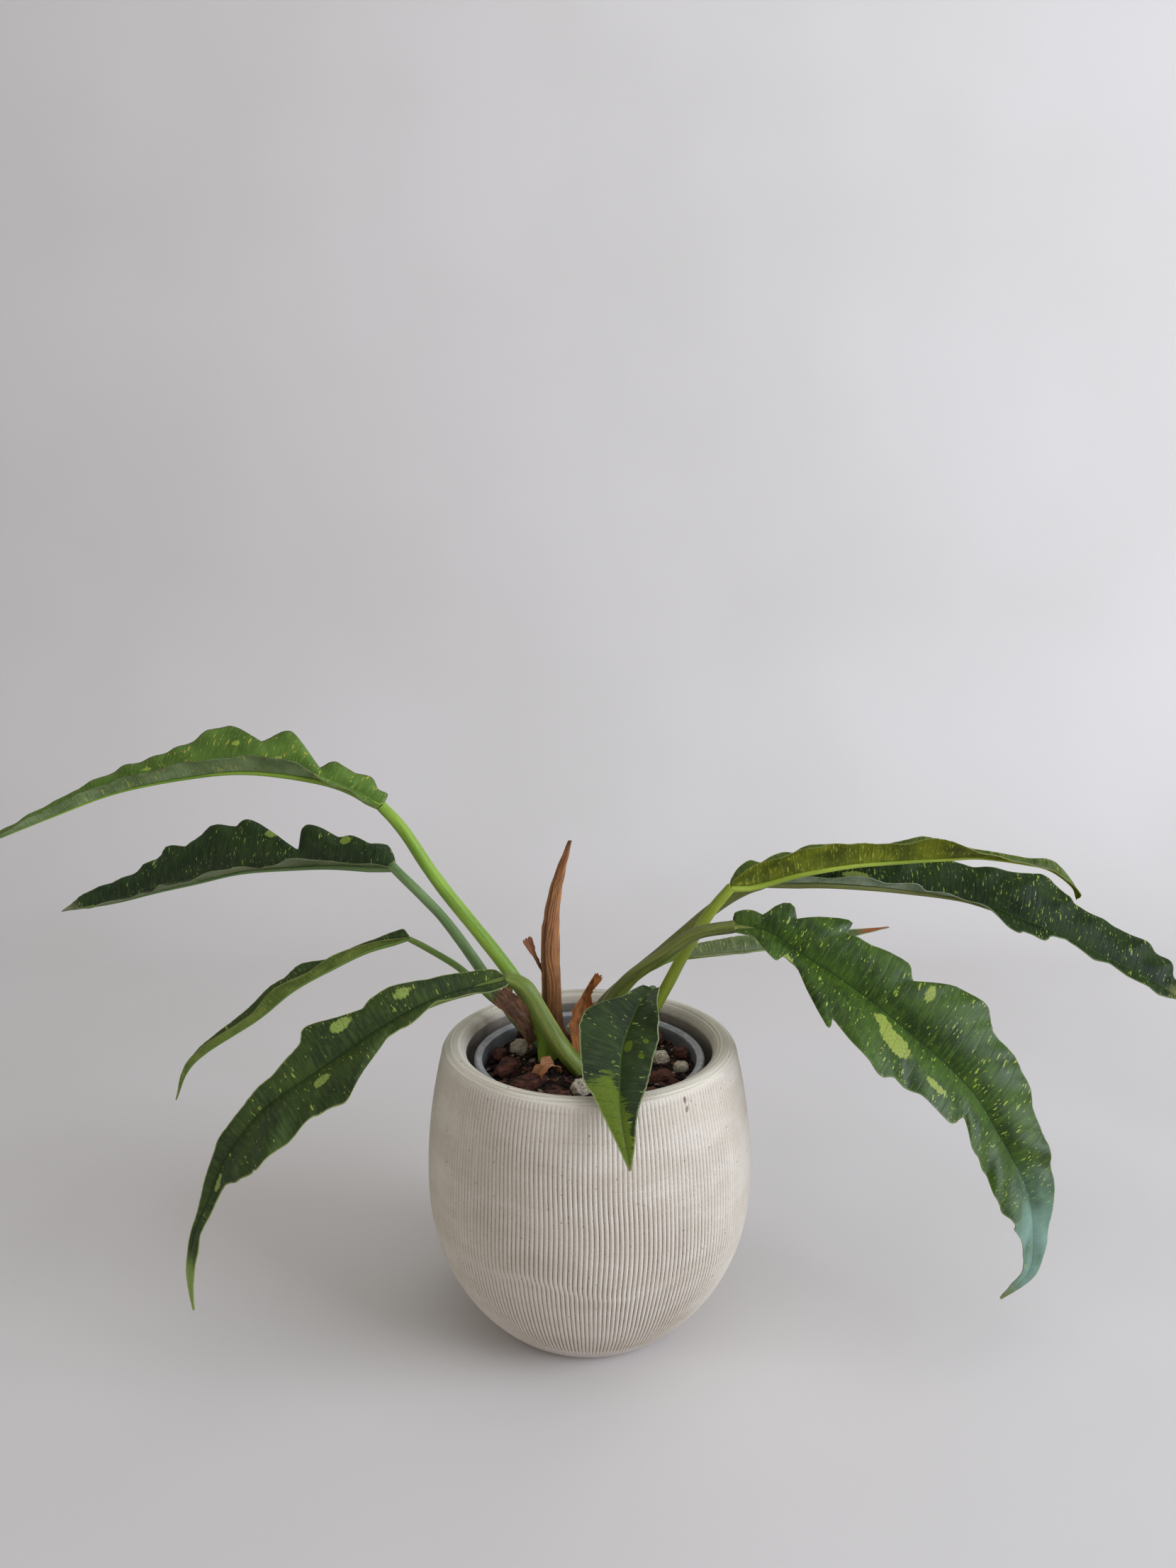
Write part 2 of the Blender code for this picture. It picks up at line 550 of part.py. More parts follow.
def build():
    clear_scene()
    make_outer_pot(make_material("whitewashed_ceramic", (0.58, 0.53, 0.46), 0.85))
    make_grow_pot(make_material("grey_polypropylene", (0.15, 0.16, 0.17), 0.45))
    make_mix(make_material("growing_mix_brown", (0.045, 0.030, 0.022), 0.95))
    make_stem(make_material("stem_green", (0.10, 0.13, 0.04), 0.55))
    for name, shape in LEAVES.items():
        make_leaf(name, shape)
    dried = make_material("dried_leaf_brown", (0.20, 0.095, 0.045), 0.75)
    spike_path = sample_path(SPIKE["path"], SPIKE_STATIONS, base=STEM_TOP_Z)
    make_tube("dried_spike", spike_path, SPIKE["radii"], dried)
    for name, shape in DRIED_SHEATHS.items():
        make_blade(name, shape, sample_path(shape["spine"], SHEATH_STATIONS), SHEATH_THICKNESS, dried)
    bark = make_material("pine_bark", (0.16, 0.065, 0.035), 0.9)
    pumice = make_material("pumice_grey", (0.50, 0.46, 0.38), 0.95)
    lava = make_material("lava_maroon", (0.075, 0.028, 0.026), 0.95)
    make_chunks("bark_chip", BARK_CHIPS, 100, 0.75, bark)
    make_chunks("pumice_stone", PUMICE_STONES, 200, 0.25, pumice)
    make_chunks("lava_rock", LAVA_ROCKS, 300, 0.2, lava)


build()
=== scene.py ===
# Potted philodendron: the looks of the plant, its grow pot and the combed ceramic pot it stands in.
import math
from functools import partial

import bmesh
import bpy
import numpy as np
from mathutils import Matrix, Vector, noise


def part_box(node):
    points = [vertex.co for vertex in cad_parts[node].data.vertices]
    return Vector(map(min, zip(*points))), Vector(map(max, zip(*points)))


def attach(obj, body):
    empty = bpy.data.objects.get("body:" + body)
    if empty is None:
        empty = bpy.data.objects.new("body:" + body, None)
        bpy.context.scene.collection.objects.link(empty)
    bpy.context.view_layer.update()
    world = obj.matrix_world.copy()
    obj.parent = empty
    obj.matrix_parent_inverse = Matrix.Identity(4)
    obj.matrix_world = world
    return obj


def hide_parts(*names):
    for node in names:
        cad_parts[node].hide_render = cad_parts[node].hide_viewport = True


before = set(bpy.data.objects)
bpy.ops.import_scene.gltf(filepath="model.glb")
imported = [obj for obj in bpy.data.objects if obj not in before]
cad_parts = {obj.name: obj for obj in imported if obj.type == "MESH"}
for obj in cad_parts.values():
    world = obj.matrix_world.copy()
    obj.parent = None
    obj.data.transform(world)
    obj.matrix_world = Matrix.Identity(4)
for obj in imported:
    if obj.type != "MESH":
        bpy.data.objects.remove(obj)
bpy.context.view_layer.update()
mm = 0.001
draw = np.random.default_rng(7)
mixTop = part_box("growing_mix")[1].z / mm      # plant points are in mm from the middle of the mix


# The shader nodes used here, each with Blender's name for it, the inputs that values fill in order, preset
# inputs, settings, and the output that is read.
nodeForms = dict(
    shader=("BsdfPrincipled", (), {}, {}, "BSDF"),
    surface=("OutputMaterial", ("Surface",), {}, {}, None),
    objectPlace=("TexCoord", (), {}, {}, "Object"),
    mark=("Attribute", (), {}, {}, "Fac"),
    markedPlace=("Attribute", (), {}, {}, "Vector"),
    split=("SeparateXYZ", (0,), {}, {}, None),
    join=("CombineXYZ", (0, 1, 2), {}, {}, 0),
    blend=("Mix", (0, 6, 7), {}, dict(data_type="RGBA"), 2),
    step=("MapRange", (0, 1, 2, 3, 4), {}, dict(interpolation_type="SMOOTHSTEP"), 0),
    cloud=("TexNoise", ("Vector", "Detail", "Distortion"), dict(Scale=1.0, Roughness=0.55), {}, 0),
    shake=("TexNoise", ("Vector",), dict(Scale=1.0), {}, "Color"),
    cells=("TexVoronoi", ("Vector",), dict(Scale=1.0), {}, None),
    ramp=("ValToRGB", (0,), {}, {}, 0),
    bump=("Bump", ("Height", "Distance"), {}, {}, 0),
    length=("VectorMath", (0,), {}, dict(operation="LENGTH"), "Value"),
    shift=("VectorMath", (0, 1), {}, dict(operation="ADD"), 0),
    stretch=("VectorMath", (0, 1), {}, dict(operation="DIVIDE"), 0),
    scale=("VectorMath", (0, 1), {}, dict(operation="MULTIPLY"), 0),
)
for sumName in ("add", "subtract", "multiply", "maximum", "pingpong", "absolute"):
    nodeForms[sumName] = ("Math", (0, 1), {}, dict(operation=sumName.upper()), 0)


def linear(hexColour):
    # sRGB hex to the linear colour that a shader takes
    parts = [int(hexColour[k:k + 2], 16) / 255 for k in (1, 3, 5)]
    return (*[c / 12.92 if c <= 0.04045 else ((c + 0.055) / 1.055) ** 2.4 for c in parts], 1.0)


def fillInputs(node, inputs):
    # links an output, or sets a value on the node's own input; text is a colour
    for name, value in inputs.items():
        if isinstance(value, bpy.types.NodeSocket):
            node.id_data.links.new(value, node.inputs[name])
        else:
            node.inputs[name].default_value = linear(value) if isinstance(value, str) else value


def addNode(tree, form, *values, stops=(), **settings):
    # adds one node with its settings, values and links, and gives back the output that is read
    kind, slots, preset, fixed, output = nodeForms[form]
    node = tree.nodes.new("ShaderNode" + kind)
    for name, value in {**fixed, **settings}.items():
        setattr(node, name, value)
    fillInputs(node, {**preset, **dict(zip(slots, values))})
    if stops:
        elements = node.color_ramp.elements
        elements[0].position, elements[1].position = stops[0][0], stops[-1][0]
        for place, colour in stops[1:-1]:
            elements.new(place)
        for element, (place, colour) in zip(elements, stops):
            element.color = linear(colour)
    return node.outputs if output is None else node.outputs[output]


def newMaterial(name):
    # an empty material, and the way to add nodes to it
    material = bpy.data.materials.new(name)
    material.use_nodes = True
    tree = material.node_tree
    tree.nodes.clear()
    addNode(tree, "surface", addNode(tree, "shader"))
    return material, partial(addNode, tree)


def finishSurface(material, colour, roughness, relief=None, depth=0.0, shine=0.5):
    # what the shader shows; relief is from 0 to 1 and depth in mm
    tree = material.node_tree
    inputs = {"Base Color": colour, "Roughness": roughness, "Specular IOR Level": shine}
    if relief:
        inputs["Normal"] = addNode(tree, "bump", relief, depth * mm)
    fillInputs(tree.nodes["Principled BSDF"], inputs)
    return material


def mottling(node, place, *patterns):
    # soft uneven patterns: each (mm along the three axes, then how much finer detail it holds)
    return [node("cloud", node("stretch", place, sizes), detail) for *sizes, detail in patterns]


def paintOver(node, colour, *coats):
    # coats of colour, one over the other: each (pattern, where it starts, where it is full, strength, colour)
    for pattern, start, full, strength, coat in coats:
        colour = node("blend", node("step", pattern, start, full, 0, strength), colour, coat)
    return colour


def placeInMm(node):
    return node("stretch", node("objectPlace"), (mm, mm, mm))


def roundAngles(count):
    # that many even steps round a circle
    return np.linspace(0, 2 * np.pi, count, endpoint=False)


def gridFaces(rows, columns, start=0, closed=False, flip=False):
    faces = []
    for i in range(rows - 1):
        for j in range(columns if closed else columns - 1):
            k = (j + 1) % columns
            face = (start + i * columns + j, start + i * columns + k,
                    start + (i + 1) * columns + k, start + (i + 1) * columns + j)
            faces.append(face[::-1] if flip else face)
    return faces


def roundFaces(rows, columns):
    # faces over rings of points, closed at both ends
    last = (rows - 1) * columns
    ends = [tuple(range(columns))[::-1], tuple(range(last, last + columns))]
    return gridFaces(rows, columns, closed=True) + ends


def sheetFaces(rows, columns):
    # a grid of points, the same grid again below it, and the thin edge between them
    count = rows * columns
    right = [r * columns + columns - 1 for r in range(1, rows)]
    end = [(rows - 1) * columns + k for k in range(columns - 2, -1, -1)]
    left = [r * columns for r in range(rows - 2, 0, -1)]
    edge = list(range(columns)) + right + end + left
    faces = gridFaces(rows, columns) + gridFaces(rows, columns, start=count, flip=True)
    return faces, [(b, a, a + count, b + count) for a, b in zip(edge, edge[1:] + edge[:1])]


def makePiece(name, shells, materials, node, sharpAngle=55):
    # shells: (points in mm, faces, material index of each face, {mark: value of each point})
    points = np.concatenate([shell[0] for shell in shells]) * mm
    faces, indices, start = [], [], 0
    for shell in shells:
        faces += [tuple(start + k for k in face) for face in shell[1]]
        indices += list(shell[2]) if hasattr(shell[2], "__len__") else [shell[2]] * len(shell[1])
        start += len(shell[0])
    mesh = bpy.data.meshes.new(name)
    mesh.from_pydata(points.tolist(), [], faces)
    mesh.polygons.foreach_set("material_index", indices)
    for mark in shells[0][3]:
        values = np.concatenate([np.asarray(shell[3][mark], float) for shell in shells])
        kind = "FLOAT_VECTOR" if values.ndim == 2 else "FLOAT"
        layer = mesh.attributes.new(mark, kind, "POINT")
        layer.data.foreach_set("vector" if values.ndim == 2 else "value", values.astype(np.float32).ravel())
    for material in materials:
        mesh.materials.append(material)
    mesh.update()
    mesh.shade_smooth()
    mesh.set_sharp_from_angle(angle=math.radians(sharpAngle))
    piece = bpy.data.objects.new(name, mesh)
    bpy.context.scene.collection.objects.link(piece)
    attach(piece, "root")
    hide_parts(node)
    return piece


def smoothPath(points, shares):
    # a smooth curve through the points, read at shares from 0 to 1
    p = np.array(points, float)
    p = np.vstack([2 * p[0] - p[1], p, 2 * p[-1] - p[-2]])
    place = np.clip(shares, 0, 1) * (len(p) - 3)
    k = np.minimum(place.astype(int), len(p) - 4)
    u = (place - k)[:, None]
    a, b, c, d = p[k], p[k + 1], p[k + 2], p[k + 3]
    bend, twist = 2 * a - 5 * b + 4 * c - d, 3 * b - a - 3 * c + d
    return 0.5 * (2 * b + (c - a) * u + bend * u ** 2 + twist * u ** 3)


def unit(vectors):
    return vectors / np.maximum(np.linalg.norm(vectors, axis=-1, keepdims=True), 1e-9)


def pathLength(path):
    # how far along the path each point lies
    return np.r_[0, np.cumsum(np.linalg.norm(np.diff(path, axis=0), axis=1))]


def followSpine(form, share):
    # the spine of a leaf or sheath: points, directions along, up and to the side, and the length so far
    spine = smoothPath(form["spine"], share)
    tangent = unit(np.gradient(spine, axis=0))
    up = (1 - share)[:, None] * np.array(form["up"][0]) + share[:, None] * np.array(form["up"][1])
    up = unit(up - tangent * (up * tangent).sum(1, keepdims=True))
    return spine, tangent, up, np.cross(tangent, up), pathLength(spine)


def sheetNormals(top):
    # which way a grid of points faces
    return unit(np.cross(np.gradient(top, axis=1), np.gradient(top, axis=0)))


def solidMesh(piece):
    # the mesh that a piece's modifiers give
    bpy.context.view_layer.update()
    return bpy.data.meshes.new_from_object(piece.evaluated_get(bpy.context.evaluated_depsgraph_get()))


def capital(key):
    return key[0].upper() + key[1:]


def wobble(place, seed, count=5):
    # a smooth random wave between about -1 and 1; place is in waves
    mix = np.random.default_rng(seed)
    total = np.zeros_like(place, float)
    for k in range(count):
        total += np.sin(2 * np.pi * place * mix.uniform(0.5, 1.8) + mix.uniform(0, 6.28)) / count
    return total * 1.6


# The camera, at the height of a person sitting, a little above the leaves.
viewpoint = dict(place=(-0.0007, -0.583, 0.394), pitchDown=10.4, lens=27.05, sensor=36.0)
cameraData = bpy.data.cameras.new("camera")
cameraData.sensor_fit = "VERTICAL"
cameraData.sensor_height = viewpoint["sensor"]
cameraData.lens = viewpoint["lens"]
cameraData.clip_start = 0.01
camera = bpy.data.objects.new("camera", cameraData)
camera.location = viewpoint["place"]
camera.rotation_euler = (math.radians(90 - viewpoint["pitchDown"]), 0, 0)
bpy.context.scene.collection.objects.link(camera)
bpy.context.scene.camera = camera
print("camera placed")


# The outer pot.
potShape = dict(
    height=152.0, foot=48.0, belly=85.3, bellyHeight=83.6, opening=64.8, lipWidth=12.8, lipDepth=6.0,
    wall=11.5, floor=18.0,
    ribs=228, ribSamples=6, ribDepth=0.768,       # comb teeth about 2.3 mm apart round the belly
    combStart=10.5,                               # only the foot band stays smooth
    footWash=(11.5, 9.5), lipWash=(149.2, 150.6),  # heights where the foot and the lip change colour
    chips=((45.0, -62.8, 147.0), (45.8, -62.8, 142.0)), chipSize=(1.1, 1.1, 2.6),
    strokeJoins=(27.0, 62.0, 101.0),              # heights where one comb stroke ends and the next starts
)


def potRadius(z):
    # outer radius of the wall at height z
    rim = potShape["opening"] + potShape["lipWidth"]
    low = np.clip(1 - z / potShape["bellyHeight"], 0, 1)
    under = potShape["foot"] + (potShape["belly"] - potShape["foot"]) * (1 - low ** 2.4) ** 0.9
    reach = potShape["height"] - potShape["lipDepth"] - potShape["bellyHeight"]
    high = np.clip((z - potShape["bellyHeight"]) / reach, 0, 1)
    above = potShape["belly"] + (rim - potShape["belly"]) * high ** 2
    return np.where(z < potShape["bellyHeight"], under, above)


def potRows():
    # (radius, height, comb depth) from under the foot, up the outside, over the lip and down inside
    shape = potShape
    lipBase = shape["height"] - shape["lipDepth"]
    foot = shape["foot"]
    rows = [(0.6, 1.2, 0), (foot * 0.55, 1.2, 0), (foot - 7, 1.2, 0), (foot - 5.5, 0, 0),
            (foot - 1.2, 0, 0), (foot - 0.3, 0.4, 0)]
    for z in np.concatenate([[1.2, 2.5, 4, 5.5, 7], np.linspace(8.5, lipBase - 0.5, 58)]):
        comb = np.interp(z, (shape["combStart"] - 1, shape["combStart"] + 2.5), (0, 1))
        rows.append((float(potRadius(z)), z, comb))
    middle = shape["opening"] + shape["lipWidth"] / 2
    for angle in np.linspace(0, np.pi, 22):
        fine = 0.1 * math.sin(angle * 11)         # throwing lines that the fingers left on the lip
        rows.append((middle + (shape["lipWidth"] / 2 + fine) * math.cos(angle),
                     lipBase + (shape["lipDepth"] - 0.1 + fine) * math.sin(angle),
                     np.clip(1.6 - angle / 0.5, 0, 1)))
    for z in np.linspace(lipBase - 2, shape["floor"] + 6, 9):
        inside = min(shape["opening"] + (lipBase - z) * 1.2, float(potRadius(z)) - shape["wall"])
        rows.append((inside, z, 0))
    rows += [(float(potRadius(shape["floor"])) - shape["wall"] - 5, shape["floor"], 0),
             (25, shape["floor"], 0), (0.6, shape["floor"], 0)]
    return np.array(rows)


def combedCeramic():
    # stoneware, thrown, combed while wet and whitewashed: chalky ridges, clay showing in the grooves
    material, node = newMaterial("whitewashedCombedStoneware")
    place = placeInMm(node)
    across = node("split", place)
    # uneven whitewash, drag marks of the comb, and sand grit drawn coarser than it is, so that it shows
    patches, drag, grit = mottling(node, place, (45, 45, 12, 4), (3.5, 3.5, 30, 3), (0.9, 0.9, 0.9, 2))
    wash = paintOver(node, "#d5ccbf", (patches, 0.35, 0.65, 1, "#ccc2b3"), (drag, 0.45, 0.7, 0.3, "#dfd8cc"))
    clay = paintOver(node, "#95877b", (drag, 0.35, 0.65, 1, "#a4978b"))
    comb = node("mark", attribute_name="combHeight")
    worn = node("add", comb, node("multiply", node("subtract", grit, 0.5), 0.6))
    outward = node("length", node("scale", place, (1, 1, 0)))
    turned = node("join", outward, across["Z"], across["X"])
    rings, = mottling(node, turned, (0.9, 1.2, 40, 3))
    rim = paintOver(node, "#c0b7a3", (rings, 0.38, 0.62, 1, "#dfd9ca"))
    colour = paintOver(node, clay, (worn, 0.15, 0.62, 1, wash), (across["Z"], *potShape["lipWash"], 1, rim),
                       (across["Z"], *potShape["footWash"], 1, "#cbc1b8"))
    specks = node("cells", node("stretch", place, (3.2, 3.2, 3.2)))      # a dark grain in a few cells
    rare = node("step", node("split", specks["Color"])["X"], 0.86, 0.9)
    dot = node("multiply", node("step", specks["Distance"], 0.17, 0.08), rare)
    shown = node("step", node("step", across["Z"], *potShape["lipWash"]), 0, 1, 0.35, 0.85)
    colour = node("blend", node("multiply", dot, shown), colour, "#5d5148")
    for chip in potShape["chips"]:
        away = node("shift", place, [-c for c in chip])
        away = node("length", node("stretch", away, potShape["chipSize"]))
        ragged = node("add", away, node("multiply", grit, 0.9))
        colour = paintOver(node, colour, (ragged, 1.35, 1.1, 0.75, "#6b5646"))
    pores = node("add", node("multiply", grit, 0.7), node("multiply", rings, 0.5))
    relief = node("subtract", pores, node("multiply", dot, 0.8))
    return finishSurface(material, colour, node("step", patches, 0.3, 0.7, 0.72, 0.9), relief, 0.42, 0.3)


def makeOuterPot():
    rows = potRows()
    columns = potShape["ribs"] * potShape["ribSamples"]
    angle = roundAngles(columns)[None, :]
    z = rows[:, 1:2]
    ridge = np.abs(np.sin(potShape["ribs"] * angle / 2)) ** 0.75      # broad round ridges, narrow grooves
    drift = 1.1 * np.sin(z / 19) + 0.7 * np.sin(3 * angle + z / 9)
    depth = np.interp(z, (10, 80, 146), (1.05, 0.85, 0.6))
    depth = depth + 0.12 * np.sin(5 * angle + z / 11) * np.sin(z / 23 + 2 * angle)
    for k, join in enumerate(potShape["strokeJoins"]):
        edge = join + 5 * np.sin(2 * angle + k) + 3 * np.sin(7 * angle + 2 * k)
        worn = 0.15 + 0.85 * np.clip(np.sin(angle + 2.1 * k + 1.2), 0, 1)
        past = worn / (1 + np.exp(-(z - edge) / 0.8))
        drift = drift + past * (1.9 + 1.5 * np.sin(4 * angle + 3 * k))
        depth = depth * (1 - 0.28 * worn * np.exp(-((z - edge) / 1.6) ** 2))
    angle = angle - drift / potShape["ribs"]
    cut = rows[:, 2:3] * (1 - ridge) * depth * potShape["ribDepth"]
    uneven = 0.25 * np.sin(2 * angle + z / 31) - 0.25
    radius = rows[:, 0:1] - cut + uneven * np.minimum(1, rows[:, 0:1] / 40)
    points = np.stack([radius * np.cos(angle), radius * np.sin(angle), z + 0 * angle], -1)
    comb = 1 - rows[:, 2:3] * (1 - ridge) * depth
    shell = (points.reshape(-1, 3), roundFaces(len(rows), columns), 0, {"combHeight": comb.ravel()})
    return makePiece("outerPot", [shell], [combedCeramic()], "outer_pot", 60)


makeOuterPot()
print("outer pot thrown and combed")


# The grow pot.
growShape = dict(
    seat=18.3, top=143.6, rim=60.4, base=44.0, wall=1.4, rimWidth=4.2, rimHeight=4.5,
    holes=6, holeRing=29.0, holeRadius=4.0, columns=144,
)


def mouldedPlastic():
    # polypropylene, injection moulded: satin grey with faint flow marks and a scuffed, lighter rim
    material, node = newMaterial("mouldedPolypropylene")
    place = placeInMm(node)
    # flow marks, scuffs, and the mould's grain drawn coarser than it is, so that it shows
    flow, scuff, grain = mottling(node, place, (20, 20, 6, 3), (4, 4, 1.5, 4), (0.6, 0.6, 0.6, 1))
    rim = paintOver(node, "#929496", (scuff, 0.4, 0.66, 1, "#b0b2b4"))
    colour = paintOver(node, "#707275", (flow, 0.35, 0.65, 1, "#828486"),
                       (node("split", place)["Z"], 140.5, 142.5, 1, rim))
    roughness = node("step", scuff, 0.35, 0.7, 0.32, 0.55)
    return finishSurface(material, colour, roughness, node("add", grain, scuff), 0.08)


def makeGrowPot():
    shape = growShape
    seat, top, rim, base = shape["seat"], shape["top"], shape["rim"], shape["base"]
    wall, ring = shape["wall"], shape["holeRing"]
    body = top - shape["rimHeight"]
    neck = rim - shape["rimWidth"] + wall - 0.2

    def outer(z):
        return base + (neck - base) * (z - seat) / (body - seat)

    rows = [(0.6, seat), (12, seat), (ring - 6, seat), (ring + 6, seat), (base - 1.5, seat)]
    rows += [(base - 0.3, seat + 0.6)]
    rows += [(outer(z), z) for z in np.linspace(seat + 2, body - 0.4, 12)]
    rows += [(neck + 0.8, body), (rim - 0.3, body + 0.2), (rim, body + 0.9), (rim - 0.15, top - 1.1),
             (rim - 0.6, top - 0.3), (rim - 1.3, top), (rim - 2.2, top - 0.1), (rim - 2.8, top - 0.5),
             (rim - shape["rimWidth"], top - 1.3)]
    rows += [(outer(z) - wall, z) for z in np.linspace(body - 1.5, seat + 3, 12)]
    rows += [(base - 3, seat + wall + 0.4)]
    rows += [(radius, seat + wall) for radius in (ring + 6, ring - 6, 12, 0.6)]
    angle = roundAngles(shape["columns"])[None, :]
    radius, z = np.array(rows).T[..., None]
    points = np.stack([radius * np.cos(angle), radius * np.sin(angle), z + 0 * angle], -1).reshape(-1, 3)
    shell = (points, roundFaces(len(rows), shape["columns"]), 0, {})
    drillHoles(makePiece("growPot", [shell], [mouldedPlastic()], "grow_pot", 40))


def drillHoles(piece):
    # the drain holes: six cutters in one mesh, used once and removed
    shape = growShape
    cutter = bmesh.new()
    size, ring = shape["holeRadius"] * mm, shape["holeRing"]
    for turn in roundAngles(shape["holes"]):
        made = bmesh.ops.create_cone(cutter, segments=32, radius1=size, radius2=size, depth=8 * mm,
                                     cap_ends=True)
        spot = Vector((math.cos(turn) * ring, math.sin(turn) * ring, shape["seat"])) * mm
        bmesh.ops.translate(cutter, verts=made["verts"], vec=spot)
    cutterMesh = bpy.data.meshes.new("drainCutter")
    cutter.to_mesh(cutterMesh)
    cutter.free()
    tool = bpy.data.objects.new("drainCutter", cutterMesh)
    bpy.context.scene.collection.objects.link(tool)
    cut = piece.modifiers.new("drain", "BOOLEAN")
    cut.operation, cut.object = "DIFFERENCE", tool
    solid = solidMesh(piece)
    piece.modifiers.clear()
    piece.data = solid
    bpy.data.objects.remove(tool)


makeGrowPot()
print("grow pot moulded")


# The growing mix.
mixShape = dict(
    radius=55.2, base=24.0, lift=1.4, bumps=1.5, rings=46, columns=150, crumbs=1300, spread=54.0,
    tones=((0.02, "#1c1411"), (0.5, "#33221b"), (0.78, "#5a382a"), (0.9, "#6d4c3a"), (0.97, "#a89c8a")),
)


def looseMix():
    # coir, bark fines and grit, tipped in loose: near black, with brown fibre and a few pale grains
    material, node = newMaterial("looseBarkAndCoirMix")
    place = placeInMm(node)
    tone = node("mark", attribute_name="crumbTone")
    fine, coarse = mottling(node, place, (1.2, 1.2, 1.2, 4), (6, 6, 6, 3))       # grains, and damp patches
    ground = paintOver(node, "#17110f", (coarse, 0.35, 0.65, 1, "#2a1e19"),
                       (fine, 0.55, 0.75, 0.6, "#47342a"))
    crumb = node("ramp", tone, stops=mixShape["tones"])
    colour = paintOver(node, ground, (tone, 0.005, 0.015, 1, crumb), (fine, 0.3, 0.7, 0.35, "#140f0d"))
    return finishSurface(material, colour, node("step", fine, 0.3, 0.7, 0.75, 0.95), fine, 0.6, 0.25)


def mixHeight(x, y):
    # height of the loose surface above the mix's level, in mm
    bump = noise.fractal(Vector((x / 11, y / 11, 3.1)), 1.0, 2.0, 4)
    return mixShape["lift"] + mixShape["bumps"] * bump


def makeMix():
    shape = mixShape
    angle = roundAngles(shape["columns"])
    points = []
    outline = [(shape["radius"] * 0.78, shape["base"]), (shape["radius"] * 0.8, shape["base"]),
               (shape["radius"], mixTop)]
    for radius, z in outline:
        points += [(radius * math.cos(a), radius * math.sin(a), z) for a in angle]
    for radius in np.linspace(shape["radius"], 0.8, shape["rings"]):
        for a in angle:
            x, y = radius * math.cos(a), radius * math.sin(a)
            points.append((x, y, mixTop + mixHeight(x, y)))
    faces = roundFaces(len(outline) + shape["rings"], shape["columns"])
    shells = [(np.array(points), faces, 0, {"crumbTone": np.zeros(len(points))})]
    ball = bmesh.new()
    bmesh.ops.create_icosphere(ball, subdivisions=1, radius=1.0)
    ballPoints = np.array([v.co[:] for v in ball.verts])
    ballFaces = [tuple(v.index for v in f.verts) for f in ball.faces]
    ball.free()
    for k in range(shape["crumbs"]):
        radius, turn = shape["spread"] * math.sqrt(draw.random()), draw.uniform(0, 2 * np.pi)
        x, y = radius * math.cos(turn), radius * math.sin(turn)
        size = draw.uniform(0.5, 1.9) * np.array([draw.uniform(0.7, 1.9), 1.0, draw.uniform(0.45, 0.9)])
        lumps = ballPoints * draw.uniform(0.72, 1.25, (len(ballPoints), 1)) * size
        heading, tip = draw.uniform(0, 6.28), draw.normal(0, 0.35)
        c, t = math.cos(tip), math.sin(tip)
        lumps = lumps @ np.array([[c, 0, t], [0, 1, 0], [-t, 0, c]])
        c, t = math.cos(heading), math.sin(heading)
        lumps = lumps @ np.array([[c, t, 0], [-t, c, 0], [0, 0, 1]])
        spot = np.array([x, y, mixTop + mixHeight(x, y) + draw.uniform(-0.2, 0.7)])
        tone = 0.03 + 0.97 * draw.random()
        shells.append((lumps + spot, ballFaces, 0, {"crumbTone": np.full(len(lumps), tone)}))
    return makePiece("growingMix", shells, [looseMix()], "growing_mix", 35)


makeMix()
print("mix filled in")


